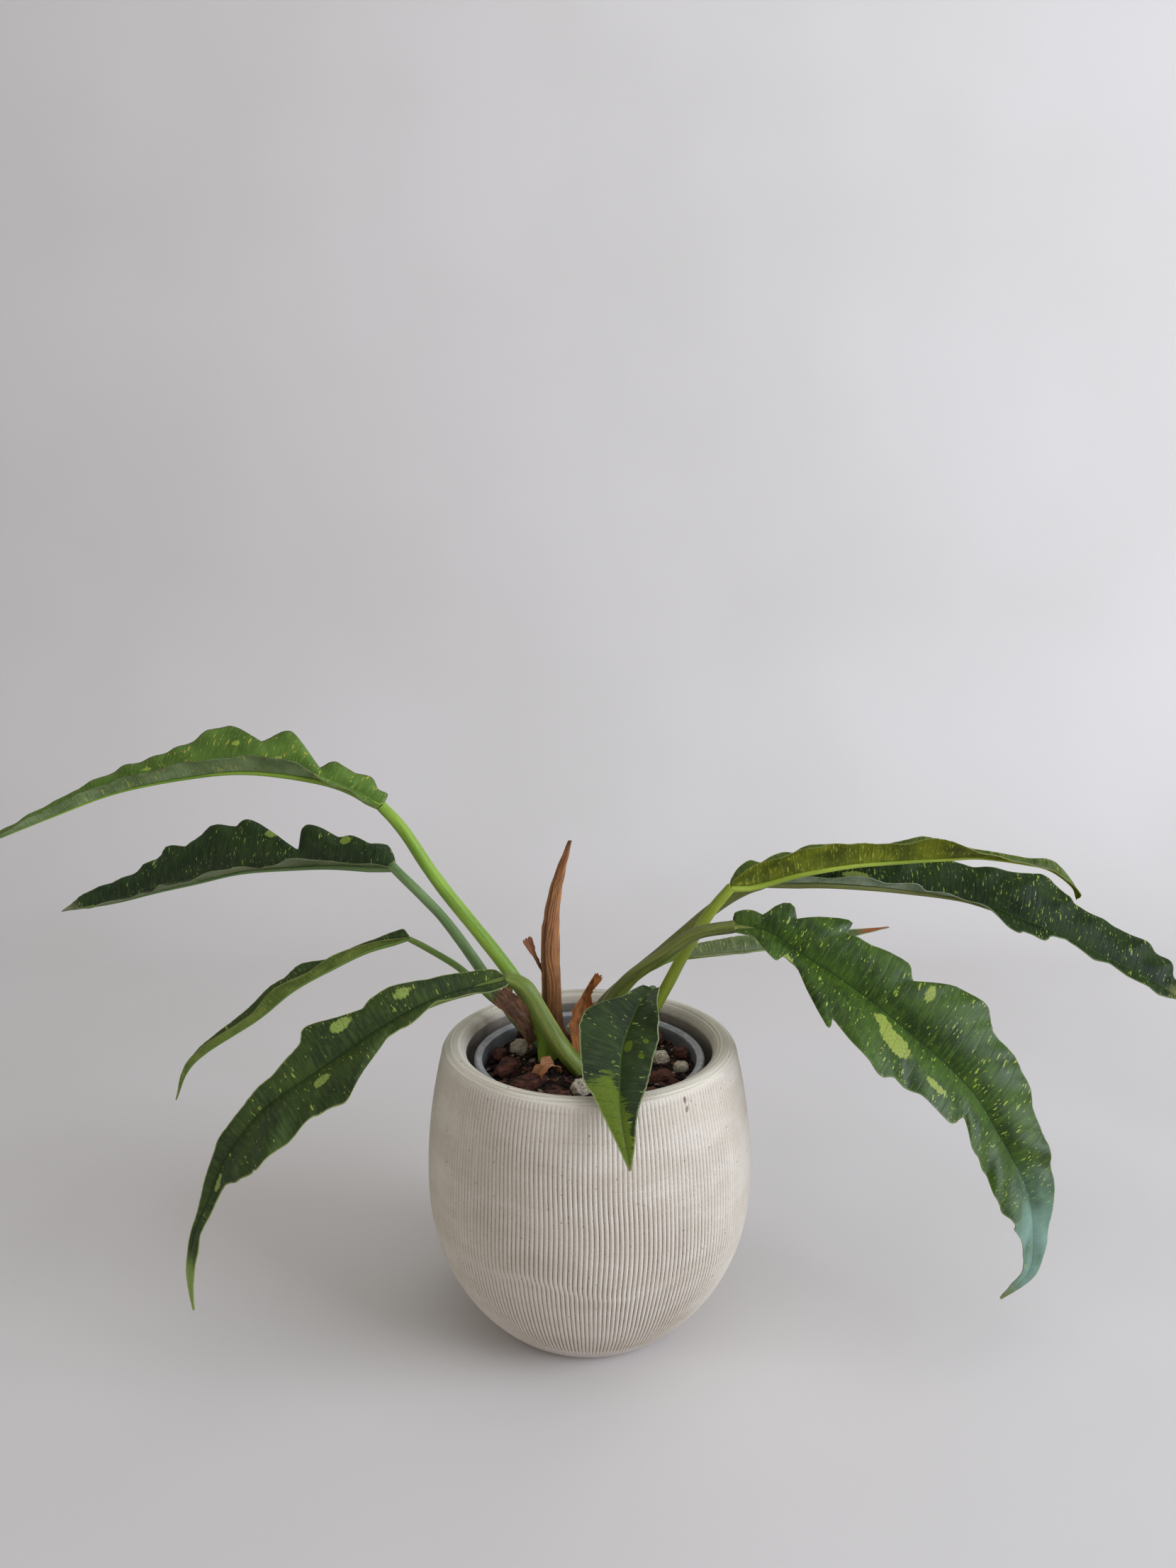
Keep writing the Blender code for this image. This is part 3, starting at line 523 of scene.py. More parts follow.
# The leaves. Points are in mm from the middle of the mix, base to tip. A side is (share of the length, width,
# lift in degrees). Look: colours of the upper skin, its flecks (and the share of cells they fill), the lime
# patches, the rib, the underside, the edge, the stalk and the tip (and where it starts). lime = the patches,
# each (share, mm across with left negative, half length, half width, strength). The sheen on one leaf is
# painted
# light: a bluish reflection painted into the colour, given as its colour, start and strength.
leaves = dict(
    backLeft=dict(
        node="leaf_back_left",
        stalk=((-22, 2, 5), (-25.5, 3.5, 24), (-43, 10, 52), (-79, 17, 97), (-97, 20, 124), (-108, 22, 136)),
        stalkRadius=(5.0, 4.0, 3.6, 3.3, 3.0, 2.8),
        spine=((-109, 22, 137), (-125, 24, 146), (-145, 27, 151), (-179, 32, 154), (-210, 36, 151),
               (-253, 38, 142), (-288, 33, 129), (-323, 27, 115)),
        up=((0.2, 0.0, 1.0), (-0.3, -0.1, 1.0)),
        right=((0, 1, 50), (0.02, 8, 50), (0.05, 7, 50), (0.08, 11, 50), (0.12, 9.5, 50),
               (0.17, 11.5, 50), (0.25, 7, 50), (0.29, 26, 48), (0.37, 18, 48),
               (0.42, 28, 47), (0.58, 18.5, 46), (0.66, 15, 45), (0.75, 11, 44),
               (0.85, 8, 43), (0.93, 5, 41), (1, 0.5, 40)),
        left=((0, 1, 5), (0.03, 6, 0), (0.07, 9, -5), (0.1, 7, 0), (0.14, 10, 5), (0.18, 8, 15),
               (0.22, 9.5, 25), (0.255, 5, 40), (0.29, 9, 60), (0.36, 10.5, 66),
               (0.44, 8.5, 66), (0.56, 9, 66), (0.66, 7, 66), (0.78, 6.5, 64),
               (0.9, 4, 60), (1, 0.5, 55)),
        ruffle=1.0, seed=1,
        skin=("#45601f", "#58772b", "#708c3c"), flecks=("#b4ab46", 0.09), patch="#9cb048", rib="#66803c",
        under=("#586b40", "#74875a"), margin="#54482c",
        stem=("#6d8f2c", "#89a83c", "#55762a"), tip=("#6d7a34", 0.93), shine=0.22,
        lime=((0.36, 16, 3, 2, 0.8), (0.58, 9, 4, 1.5, 0.7), (0.26, 8, 3, 2, 0.7)),
    ),
    middleLeft=dict(
        node="leaf_middle_left",
        stalk=((-22, 16, 5), (-36, 16, 18), (-50, 21, 35), (-64, 27, 54), (-81, 33, 75), (-105, 39, 98)),
        stalkRadius=(3.6, 3.2, 3.0, 2.8, 2.6, 2.5),
        spine=((-106, 40, 99), (-139, 44, 100), (-163, 48, 98), (-194, 53, 94), (-220, 56, 87),
               (-243, 58, 81), (-269, 59, 74), (-298, 60, 69)),
        up=((0.2, 0.0, 1.0), (-0.2, 0.0, 1.0)),
        right=((0, 1, 50), (0.02, 10, 52), (0.035, 14, 54), (0.06, 13, 56), (0.09, 17, 58),
               (0.11, 16, 58), (0.145, 23.5, 58), (0.235, 9.5, 58), (0.32, 30, 58),
               (0.36, 27, 58), (0.4, 29.5, 58), (0.5, 22.5, 57), (0.54, 27, 56),
               (0.6, 22.5, 55), (0.71, 16, 53), (0.87, 11.5, 50), (1, 0.5, 45)),
        left=((0, 1, 30), (0.05, 7, 26), (0.2, 16, 20), (0.33, 11, 17), (0.5, 18, 15), (0.65, 12, 15),
              (0.8, 9, 15), (1, 0.5, 15)),
        ruffle=1.1, seed=2,
        skin=("#1d2c14", "#2a3c1a", "#3e5226"), flecks=("#8a9c44", 0.1), patch="#8b9e42", rib="#2a3a1c",
        under=("#56633f", "#76815c"), margin="#59603c",
        stem=("#5c7646", "#7a945e", "#465e38"), tip=("#8d936c", 0.93), shine=0.2,
        lime=((0.34, 20, 5, 3, 0.8), (0.13, 14, 4, 3, 0.8), (0.9, -3, 16, 4, 0.9)),
    ),
    lowLeft=dict(
        node="leaf_low_left",
        stalk=((-16, 22, 6), (-32, 28, 15), (-52, 31, 27), (-71, 34, 44), (-90, 37, 55), (-98, 38, 59)),
        stalkRadius=(2.6, 2.2, 2.0, 1.8, 1.6, 1.5),
        spine=((-99, 38, 60), (-121, 36, 54), (-140, 34, 45), (-162, 31, 33), (-182, 28, 17),
               (-209, 24, 0), (-220, 22, -11), (-226, 20, -26)),
        up=((-0.2, -0.2, 1.0), (-0.7, -0.3, 0.7)),
        right=((0, 1, 55), (0.02, 6, 55), (0.1, 4.5, 55), (0.25, 5, 55), (0.34, 10, 53), (0.4, 8, 52),
               (0.455, 9.5, 52), (0.55, 8, 51), (0.68, 5, 49), (0.8, 2.5, 46), (1, 0.4, 40)),
        left=((0, 1, 60), (0.08, 4, 66), (0.24, 8, 70), (0.34, 5.5, 70), (0.44, 8.5, 70), (0.56, 6, 70),
               (0.7, 5, 68), (0.84, 3, 62), (1, 0.4, 50)),
        ruffle=0.7, seed=3,
        skin=("#263617", "#36491f", "#50652c"), flecks=("#96a044", 0.09), patch="#8a9a42", rib="#4c5a2c",
        under=("#54652a", "#72823a"), margin="#6b7038",
        stem=("#5a7a36", "#758f46", "#465f2c"), tip=("#6a6a38", 0.93), shine=0.2,
        lime=(),
    ),
    frontLeft=dict(
        node="leaf_front_left",
        stalk=((-4, -7, 2.6), (-13, -8, 14), (-22, -9, 29), (-31, -9, 46), (-36, -9, 51), (-41, -9, 53)),
        stalkRadius=(4.9, 4.9, 4.7, 4.3, 4.0, 3.7),
        spine=((-42.5, -9, 53), (-66, -14, 49), (-84, -20, 44), (-103, -27, 35), (-120, -34, 25),
               (-138, -41, 14), (-155, -48, 4), (-166, -54, -7), (-176, -59, -21), (-183, -63, -39),
               (-189, -66, -53), (-192, -68, -69), (-192, -69, -82), (-191, -70, -92)),
        up=((-0.1, -0.5, 1.0), (-0.45, -0.9, 0.35)),
        right=((0, 1, 10), (0.02, 8, 10), (0.05, 10, 10), (0.1, 12, 11), (0.125, 15, 11), (0.15, 17, 12),
               (0.18, 17, 12), (0.205, 14.5, 12), (0.24, 18.5, 12), (0.28, 24, 12),
               (0.32, 18, 12), (0.365, 14.5, 12), (0.42, 11, 12), (0.48, 9, 11),
               (0.54, 9, 11), (0.6, 6.5, 10), (0.67, 5, 10), (0.74, 2.5, 10),
               (0.85, 2, 10), (1, 0.4, 10)),
        left=((0, 1, 25), (0.01, 10, 25), (0.06, 8, 22), (0.12, 3.2, 20), (0.16, 12, 18),
               (0.205, 9.5, 18), (0.225, 22, 16), (0.245, 32, 15), (0.29, 29, 15),
               (0.335, 25.5, 14), (0.38, 29, 13), (0.42, 32, 13), (0.48, 25, 12),
               (0.55, 18, 12), (0.6, 11, 11), (0.65, 6, 10), (0.71, 5, 10), (0.79, 5, 10),
               (0.89, 2.5, 10), (1, 0.4, 10)),
        ruffle=0.7, seed=4,
        skin=("#263518", "#37481c", "#4e612c"), flecks=("#9da646", 0.045), patch="#93a650", rib="#26351a",
        under=("#66774a", "#8b9a66"), margin="#8f9a5e",
        stem=("#63752c", "#86944a", "#465518"), tip=("#8ea354", 0.8), shine=0.2,
        lime=((0.33, 13, 6, 4, 0.9), (0.42, -10, 5, 3.5, 1.0), (0.2, 10, 6, 4, 0.7), (0.72, -3, 5, 1.6, 1.0)),
    ),
    topRight=dict(
        node="leaf_top_right",
        stalk=((16, 8, 1.8), (19, 8, 6), (26, 10, 16), (36, 12, 32), (51, 13, 61), (63, 14, 81),
               (73, 14, 94)),
        stalkRadius=(3.8, 3.4, 3.2, 3.0, 2.8, 2.6),
        spine=((74, 14, 95), (90, 17, 97), (112, 20, 102), (140, 24, 105.5), (168, 28, 106.5), (192, 31, 107),
               (211, 33, 107), (236, 35, 103), (250, 36, 99), (262, 36, 90), (265, 36, 83)),
        up=((-0.2, 0.0, 1.0), (0.6, -0.2, 0.8)),
        left=((0, 1, 50), (0.02, 6, 52), (0.07, 13.5, 54), (0.095, 11, 52), (0.13, 13.5, 52),
               (0.16, 11.5, 52), (0.19, 14, 50), (0.28, 11, 49), (0.33, 9, 48),
               (0.38, 12, 46), (0.41, 13.5, 45), (0.47, 10, 42), (0.59, 4.5, 35),
               (0.69, 4, 28), (0.78, 8, 22), (0.85, 6, 18), (1, 0.5, 10)),
        right=((0, 1, 80), (0.02, 5, 80), (0.08, 11, 82), (0.14, 12, 82), (0.22, 13, 82), (0.3, 11, 82),
               (0.36, 10, 80), (0.42, 13, 76), (0.47, 12, 60), (0.53, 10, 34), (0.62, 9, 22), (0.72, 7, 12),
               (0.85, 7, 10), (1, 0.5, 10)),
        ruffle=0.5, seed=5,
        skin=("#344412", "#475a1c", "#667636"), flecks=("#a2a53c", 0.1), patch="#97a444", rib="#55602a",
        under=("#414a08", "#666d12"), margin="#7c8438",
        stem=("#7e9229", "#9aa83a", "#667a26"), tip=("#7a4a30", 0.93), shine=0.16,
        lime=((0.42, -6, 6, 3, 0.8),),
    ),
    middleRight=dict(
        node="leaf_middle_right",
        stalk=((-4, 16, 13), (11, 19, 33), (38, 23, 56), (67, 28, 80), (83, 31, 89), (93, 33, 92)),
        stalkRadius=(4.0, 3.6, 3.4, 3.2, 3.0, 2.8),
        spine=((94, 34, 92), (124, 40, 91), (152, 45, 88), (179, 49, 84), (207, 52, 79), (226, 52, 73),
               (244, 51, 66), (262, 50, 59), (282, 48, 49), (305, 45, 38), (320, 42, 30), (338, 40, 22)),
        up=((-0.1, -0.3, 1.0), (0.35, -0.5, 0.8)),
        left=((0, 1, 40), (0.06, 8, 39), (0.11, 14, 38), (0.18, 19.5, 38), (0.28, 21, 34),
               (0.34, 20.5, 31), (0.39, 25, 29), (0.43, 30, 27), (0.47, 32, 25),
               (0.5, 30.5, 24), (0.55, 27, 23), (0.59, 22.5, 22), (0.66, 23, 20),
               (0.74, 23, 19), (0.79, 21, 18), (0.87, 14, 14), (1, 0.5, 10)),
        right=((0, 1, 75), (0.06, 5, 75), (0.1, 4, 72), (0.16, 8, 66), (0.2, 5, 62), (0.25, 8, 58),
               (0.28, 5, 50), (0.35, 9, 28), (0.4, 14, 14), (0.45, 16, 5), (0.49, 12, 0),
               (0.55, 11, 0), (0.6, 5, 0), (0.65, 2, 0), (0.71, 6, 0), (0.75, 4, 0),
               (0.82, 8, 0), (0.92, 5, 0), (1, 0.4, 0)),
        ruffle=1.1, seed=6,
        skin=("#16240e", "#233413", "#384a1e"), flecks=("#8a9940", 0.15), patch="#909f4c", rib="#33421e",
        under=("#66745a", "#8b9680"), margin="#6b7848",
        stem=("#555c2a", "#6c7034", "#444824"), tip=("#8a8a50", 0.9), shine=0.08,
        lime=((0.36, 8, 6, 3, 0.8), (0.47, 14, 6, 4, 0.7), (0.2, -5, 10, 3, 0.7)),
    ),
    frontRight=dict(
        node="leaf_front_right",
        stalk=((-1, 6, 13), (16, 3, 44), (39, -1, 64), (55, -4, 76), (72, -6, 80)),
        stalkRadius=(3.9, 3.6, 3.4, 3.3, 3.2),
        spine=((73, -6, 80), (90, -9, 79), (106, -14, 69), (123, -19, 59), (141, -25, 47), (160, -31, 32),
               (177, -36, 18), (191, -40, 3), (200, -43, -12), (208, -46, -26), (216, -49, -44),
               (219, -51, -66), (217, -53, -83), (204, -55, -96)),
        up=((0.2, -0.7, 1.0), (0.5, -1.0, 0.25)),
        left=((0, 1, 15), (0.01, 8, 15), (0.035, 10, 16), (0.06, 8, 17), (0.08, 19, 18),
               (0.095, 13.5, 18), (0.11, 25, 18), (0.125, 32, 18), (0.14, 24.5, 18),
               (0.19, 24, 17), (0.245, 28.5, 15), (0.285, 22, 15), (0.315, 36, 13),
               (0.35, 39, 12), (0.42, 29, 12), (0.48, 28, 11), (0.55, 23.5, 10),
               (0.63, 21, 10), (0.72, 16, 10), (0.79, 10.5, 10), (0.87, 6.5, 8),
               (0.94, 3, 6), (1, 0.5, 5)),
        right=((0, 1, 15), (0.01, 4, 15), (0.045, 7, 15), (0.07, 16.5, 15), (0.09, 18, 15),
               (0.115, 10, 15), (0.135, 10, 14), (0.145, 23, 13), (0.155, 35, 12),
               (0.175, 28, 12), (0.22, 36, 12), (0.27, 37, 11), (0.31, 32, 10),
               (0.37, 27, 10), (0.42, 28, 10), (0.485, 16, 10), (0.505, 24, 9),
               (0.6, 20, 8), (0.63, 24, 8), (0.72, 19, 8), (0.84, 7.5, 8), (0.9, 5, 6),
               (1, 0.5, 5)),
        ruffle=0.8, seed=7,
        skin=("#20340b", "#364f10", "#4f6b1c"), flecks=("#9aa840", 0.1), patch="#949f48", rib="#2a3b18",
        under=("#5f7450", "#7f9068"), margin="#63703a",
        stem=("#4f5a22", "#737a38", "#3c4418"), tip=("#6d7440", 0.93), shine=0.22,
        # painted sheen: a bluish reflection of light, painted into the colour of the lower part of the blade
        bloom=("#809f93", 0.68, 0.8),
        lime=((0.36, 14, 10, 7, 1.0), (0.33, 8, 6, 5, 0.9), (0.36, -22, 3, 7, 0.7), (0.12, 10, 4, 5, 0.6),
              (0.46, 18, 9, 3, 0.7)),
    ),
    backRight=dict(
        node="leaf_back_right",
        stalk=((2, 24, 10), (23, 27, 39), (38, 31, 48), (48, 34, 51)),
        stalkRadius=(2.6, 2.2, 2.0, 1.8),
        spine=((49, 34, 51), (64, 38, 51), (86, 44, 51), (107, 50, 51), (128, 56, 52), (150, 62, 54),
               (172, 68, 57)),
        up=((-0.1, -0.2, 1.0), (0.0, -0.2, 1.0)),
        left=((0, 1, 40), (0.12, 7, 40), (0.33, 9, 38), (0.43, 7, 37), (0.66, 7, 34), (0.81, 4, 32),
              (1, 0.3, 20)),
        right=((0, 1, 20), (0.1, 5, 20), (0.3, 8, 20), (0.42, 5, 20), (0.6, 8, 20), (0.82, 3, 20),
               (1, 0.3, 20)),
        ruffle=0.6, seed=8,
        skin=("#515f36", "#6a7646", "#848e5e"), flecks=("#9ca664", 0.12), patch="#98a65a", rib="#849260",
        under=("#78885e", "#9aa580"), margin="#939c74",
        stem=("#76902f", "#8ca042", "#5f7429"), tip=("#b0663a", 0.84), shine=0.2,
        lime=(),
    ),
    front=dict(
        node="leaf_front",
        stalk=((4, -2, 5), (14, -6, 23), (24, -11, 39), (31, -15, 49)),
        stalkRadius=(2.8, 2.4, 2.2, 2.0),
        spine=((32.5, -16.5, 50.5), (28, -27, 51), (22, -38, 46), (16, -54, 36), (14, -71, 25.5),
               (14, -84, 17), (16, -94, 6), (18, -98, -4)),
        up=((-0.1, -0.2, 1.0), (0.0, -1.0, 0.35)),
        right=((0, 1, 20), (0.02, 6, 20), (0.1, 7, 20), (0.16, 9, 20), (0.21, 17, 19), (0.25, 21.5, 19),
               (0.3, 22, 18), (0.34, 20.5, 17), (0.4, 18.5, 15), (0.48, 17, 12),
               (0.57, 12, 10), (0.69, 7.5, 8), (0.85, 3, 6), (1, 0.4, 5)),
        left=((0, 1, 30), (0.03, 4, 30), (0.13, 9, 26), (0.21, 18, 20), (0.33, 18, 15), (0.49, 14, 13),
               (0.64, 9, 11), (0.82, 4.5, 8), (1, 0.4, 5)),
        ruffle=0.5, seed=9,
        skin=("#1c2815", "#2c3c1a", "#3f5225"), flecks=("#8da250", 0.07), patch="#607314", rib="#4e6026",
        under=("#66785a", "#8a9a74"), margin="#8c9866",
        stem=("#4a5f32", "#657a45", "#3c4c2a"), tip=("#8a6650", 0.945), shine=0.2,
        lime=((0.82, 8, 28, 13, 1.0), (0.42, -3, 3.5, 2.6, 1.0), (0.36, -12, 2, 2, 0.9),
              (0.45, -11, 2, 2, 0.9)),
    ),
)
bladeMake = dict(
    stations=190, reaches=17, sweepBase=-0.3, sweep=0.8, turnBack=0.15, thickness=0.45, arch=0.09,
    veinPitch=7.0, veinDip=0.08, ruffleLength=17.0, nick=0.12,
    ribRings=80, ribEnd=0.97, ribSides=12, stalkRings=70, stalkSides=28,
)


def outlineAlong(side, shares):
    # width and lift along a side: lobes are round at their tips, notches between them are sharp
    place, width, lift = np.array(side, float).T
    rise = np.diff(width) / np.diff(place)
    before, after = np.r_[rise[0], rise], np.r_[rise, rise[-1]]
    steady = before * after > 0
    slope = np.where(steady, 2 * before * after / np.where(steady, before + after, 1), 0)
    notch = (before < 0) & (after > 0)
    leaving, arriving = np.where(notch, after, slope), np.where(notch, before, slope)
    k = np.clip(np.searchsorted(place, shares, "right") - 1, 0, len(place) - 2)
    span = place[k + 1] - place[k]
    u = (shares - place[k]) / span
    curve = ((2 * u ** 3 - 3 * u ** 2 + 1) * width[k] + (u ** 3 - 2 * u ** 2 + u) * span * leaving[k]
             + (3 * u ** 2 - 2 * u ** 3) * width[k + 1] + (u ** 3 - u ** 2) * span * arriving[k + 1])
    return np.maximum(curve, 0.2), np.radians(np.interp(shares, place, lift))


def tube(path, radii, sides, seed, rough=0.0):
    # rings along a path; returns points, faces and each point's place (mm along, mm round, seed)
    path = np.array(path, float)
    tangent = unit(np.gradient(path, axis=0))
    first = np.cross(tangent[0], (0, 1, 0.3))
    normals = [unit(first)]
    for step in tangent[1:]:
        normals.append(unit(normals[-1] - step * np.dot(normals[-1], step)))
    normal = np.array(normals)
    other = np.cross(tangent, normal)
    angle = roundAngles(sides)
    length = pathLength(path)
    grow = 1 + rough * np.stack([wobble(length / 30 + k, seed + 1) for k in np.cos(angle)], 1)
    radius = np.asarray(radii)[:, None] * grow
    points = (path[:, None] + normal[:, None] * (radius * np.cos(angle))[..., None]
              + other[:, None] * (radius * np.sin(angle))[..., None])
    girth = angle * np.asarray(radii)[:, None]
    place = np.stack([length[:, None] + 0 * angle, girth, 0 * radius + seed * 37.0], -1)
    return points.reshape(-1, 3), roundFaces(len(path), sides), place.reshape(-1, 3)


def growBlade(leaf):
    make = bladeMake
    share = np.linspace(0, 1, make["stations"])
    spine, tangent, up, side, along = followSpine(leaf, share)
    sweep = np.interp(share, (0, make["turnBack"], 1), (make["sweepBase"], make["sweep"], make["sweep"]))
    reach = (np.arange(make["reaches"]) / (make["reaches"] - 1)) ** 1.25
    halves = []
    for sign, key in ((-1, "left"), (1, "right")):
        width, lift = outlineAlong(leaf[key], share)
        width = width + make["nick"] * wobble(along / 7, leaf["seed"] * 10 + sign) * np.clip(width / 8, 0, 1)
        outward = sign * side * np.cos(lift)[:, None] + up * np.sin(lift)[:, None]
        above = up * np.cos(lift)[:, None] - sign * side * np.sin(lift)[:, None]
        wave = wobble(along / make["ruffleLength"] / 1.6, leaf["seed"] * 20 + sign)
        for s in reach:
            flat = s * width
            veinPlace = along + sweep * flat
            arch = make["arch"] * 4 * s * (1 - s) * width
            wavy = leaf["ruffle"] * s ** 2 * wave * np.clip(width / 10, 0, 1.4)
            furrow = np.abs(np.cos(np.pi * veinPlace / make["veinPitch"])) ** 3
            dip = make["veinDip"] * furrow * 4 * s * (1 - s) ** 0.5
            point = (spine + outward * flat[:, None] + tangent * (sweep * flat)[:, None]
                     + above * (arch + wavy - dip)[:, None])
            vein = np.stack([veinPlace + leaf["seed"] * 130, sign * flat, 0 * flat], 1)
            blade = np.stack([share, 0 * share + s, (1 - s) * width], 1)
            halves.append((sign * s, point, vein, blade))
    halves = [half for half in halves if not (half[0] == 0 and half is not halves[0])]
    halves.sort(key=lambda half: half[0])
    top, vein, blade = (np.stack([half[k] for half in halves], 1) for k in (1, 2, 3))
    under = top - sheetNormals(top) * make["thickness"]
    count = top.shape[0] * top.shape[1]
    faces, edge = sheetFaces(*top.shape[:2])
    kinds = [0] * (len(faces) // 2) + [1] * (len(faces) // 2) + [2] * len(edge)
    lime = np.zeros(count)
    length = along[-1]
    for place, across, longWay, wide, strength in leaf["lime"]:
        off = ((vein[..., 0] - leaf["seed"] * 130 - place * length - 0.3 * abs(across)) / longWay) ** 2
        off = off + ((vein[..., 1] - across) / wide) ** 2
        lime = np.maximum(lime, strength * np.exp(-off.ravel()))
    points = np.concatenate([top.reshape(-1, 3), under.reshape(-1, 3)])
    marks = {"veinPlace": np.tile(vein.reshape(-1, 3), (2, 1)),
             "bladePlace": np.tile(blade.reshape(-1, 3), (2, 1)), "limeWash": np.tile(lime, 2)}
    ribShares = np.linspace(0, make["ribEnd"], make["ribRings"])
    ribRadius = leaf["stalkRadius"][-1] * (1 - ribShares) ** 1.2 * 0.6 + 0.2
    drop = np.interp(ribShares, (0, 0.06, 1), (0.2, 1, 1)) * ribRadius + 0.12
    pick = np.searchsorted(share, ribShares).clip(0, len(share) - 1)
    ribPath = smoothPath(leaf["spine"], ribShares) - up[pick] * drop[:, None]
    ribPoints, ribFaces, ribPlace = tube(ribPath, ribRadius, make["ribSides"], leaf["seed"])
    ribMarks = {"veinPlace": ribPlace, "bladePlace": 0 * ribPlace, "limeWash": np.zeros(len(ribPlace))}
    return [(points, faces + edge, kinds, marks), (ribPoints, ribFaces, 3, ribMarks)]


def fleckCover(node, vein, share):
    # short dashes drawn out along the side veins, in two sizes and in loose clumps; share = cells filled
    noisy = node("shake", node("stretch", vein, (3, 3, 1)))
    shifted = node("shift", vein, node("scale", noisy, (1.6, 3.0, 0)))
    clumps, = mottling(node, vein, (20, 11, 1, 2))
    crowd = node("multiply", node("subtract", clumps, 0.5), 0.7)
    dashes = []
    for wide, long, filled in ((1.4, 6.5, share), (0.8, 3.0, share * 1.2)):
        cells = node("cells", node("stretch", shifted, (wide, long, 1)), voronoi_dimensions="2D")
        chosen = node("split", cells["Color"])
        present = node("step", node("add", chosen["X"], crowd), 1 - filled, 1.02 - filled)
        size = node("step", chosen["Y"], 0, 1, 0.12, 0.34)
        inside = node("step", node("subtract", size, cells["Distance"]), 0, 0.1)
        dashes.append(node("multiply", inside, present))
    return node("maximum", *dashes)


def veinLines(node, vein, wide, narrow):
    # the side veins, one each veinPitch
    wave = node("pingpong", node("split", vein)["X"], bladeMake["veinPitch"] / 2)
    return node("step", wave, wide, narrow)


def leafTop(name, look):
    # living leaf, waxy upper skin: satin shine, lime flecks drawn out along the side veins
    material, node = newMaterial("waxyLeafSkin." + name)
    vein = node("markedPlace", attribute_name="veinPlace")
    blade = node("split", node("markedPlace", attribute_name="bladePlace"))
    lime = node("mark", attribute_name="limeWash")
    deep, middle, pale = look["skin"]
    fleckColour, fleckShare = look["flecks"]
    tipColour, tipStart = look["tip"]
    # slow changes of green, streaks between the side veins, and fine mottling between those
    broad, streaks, mottle = mottling(node, vein, (28, 18, 1, 2), (1.6, 9, 1, 3), (0.7, 1.6, 1, 2))
    lines = veinLines(node, vein, 0.5, 0.1)
    colour = paintOver(node, deep, (broad, 0.35, 0.65, 1, middle), (streaks, 0.42, 0.72, 0.55, pale),
                       (mottle, 0.5, 0.75, 0.35, pale))
    colour = node("blend", node("multiply", fleckCover(node, vein, fleckShare), 0.88), colour, fleckColour)
    grown = node("add", lime, node("multiply", node("subtract", streaks, 0.5), 0.6))
    patch = paintOver(node, look["patch"], (mottle, 0.4, 0.7, 0.5, pale))
    colour = paintOver(node, colour, (grown, 0.36, 0.48, 0.9, patch))
    colour = node("blend", node("multiply", lines, 0.14), colour, deep)
    rib = node("step", node("absolute", node("split", vein)["Y"]), 0.9, 0.25)
    fading = node("step", blade["X"], 1.0, 0.2, 0.3, 0.75)
    colour = node("blend", node("multiply", rib, fading), colour, look["rib"])
    colour = paintOver(node, colour, (blade["Z"], 0.7, 0.25, 0.7, look["margin"]))
    # painted reflection: a bluish sheen painted over the blade in patches, from the given share towards the
    # tip
    if "bloom" in look:
        sheenColour, sheenStart, strength = look["bloom"]
        paintedSheenMask = node("multiply", node("step", blade["X"], sheenStart, sheenStart + 0.16, 0, strength),
                    node("step", broad, 0.3, 0.62, 0.35, 1.0))
        colour = node("blend", paintedSheenMask, colour, sheenColour)
    colour = paintOver(node, colour, (blade["X"], tipStart, tipStart + 0.07, 0.85, tipColour))
    relief = node("add", node("multiply", mottle, 0.35), node("multiply", lines, -0.6))
    roughness = node("step", broad, 0.3, 0.7, 0.36, 0.5)
    return finishSurface(material, colour, roughness, relief, 0.14, look["shine"])


def leafUnder(name, look):
    # the leaf's underside: paler, duller, with the flecks only shining through
    material, node = newMaterial("paleLeafUnderside." + name)
    vein = node("markedPlace", attribute_name="veinPlace")
    dull, pale = look["under"]
    fleckColour, fleckShare = look["flecks"]
    broad, streaks = mottling(node, vein, (16, 10, 1, 3), (1.4, 4, 1, 3))
    lines = veinLines(node, vein, 0.6, 0.15)
    colour = paintOver(node, dull, (broad, 0.35, 0.65, 1, pale), (streaks, 0.6, 0.7, 0.35, fleckColour))
    flecks = fleckCover(node, vein, fleckShare * 1.5)
    colour = node("blend", node("multiply", flecks, 0.6), colour, fleckColour)
    colour = node("blend", node("multiply", lines, 0.3), colour, pale)
    roughness = node("step", broad, 0.3, 0.7, 0.48, 0.6)
    return finishSurface(material, colour, roughness, node("add", streaks, lines), 0.15, look["shine"])


def leafEdge(name, look):
    # the thin edge of the blade, a hair of hardened tissue
    material, node = newMaterial("leafEdge." + name)
    vein = node("markedPlace", attribute_name="veinPlace")
    broad, grain = mottling(node, vein, (6, 6, 1, 2), (0.8, 0.8, 1, 2))
    colour = paintOver(node, look["margin"], (broad, 0.4, 0.65, 1, look["under"][1]))
    return finishSurface(material, colour, 0.5, grain, 0.05)


def stalkSkin(name, look):
    # petiole: smooth waxy skin with fine pale dashes and darker streaks along it
    material, node = newMaterial("waxyPetiole." + name)
    place = node("markedPlace", attribute_name="veinPlace")
    plain, pale, dark = look["stem"]
    dashes, broad, lines = mottling(node, place, (2.4, 0.8, 1, 3), (40, 6, 1, 2), (60, 0.9, 1, 2))
    colour = paintOver(node, plain, (broad, 0.35, 0.65, 1, pale), (dashes, 0.58, 0.66, 0.45, pale),
                       (dashes, 0.42, 0.34, 0.4, dark), (lines, 0.5, 0.7, 0.35, dark))
    relief = node("add", lines, node("multiply", dashes, 0.5))
    return finishSurface(material, colour, node("step", broad, 0.3, 0.7, 0.36, 0.5), relief, 0.12, 0.3)


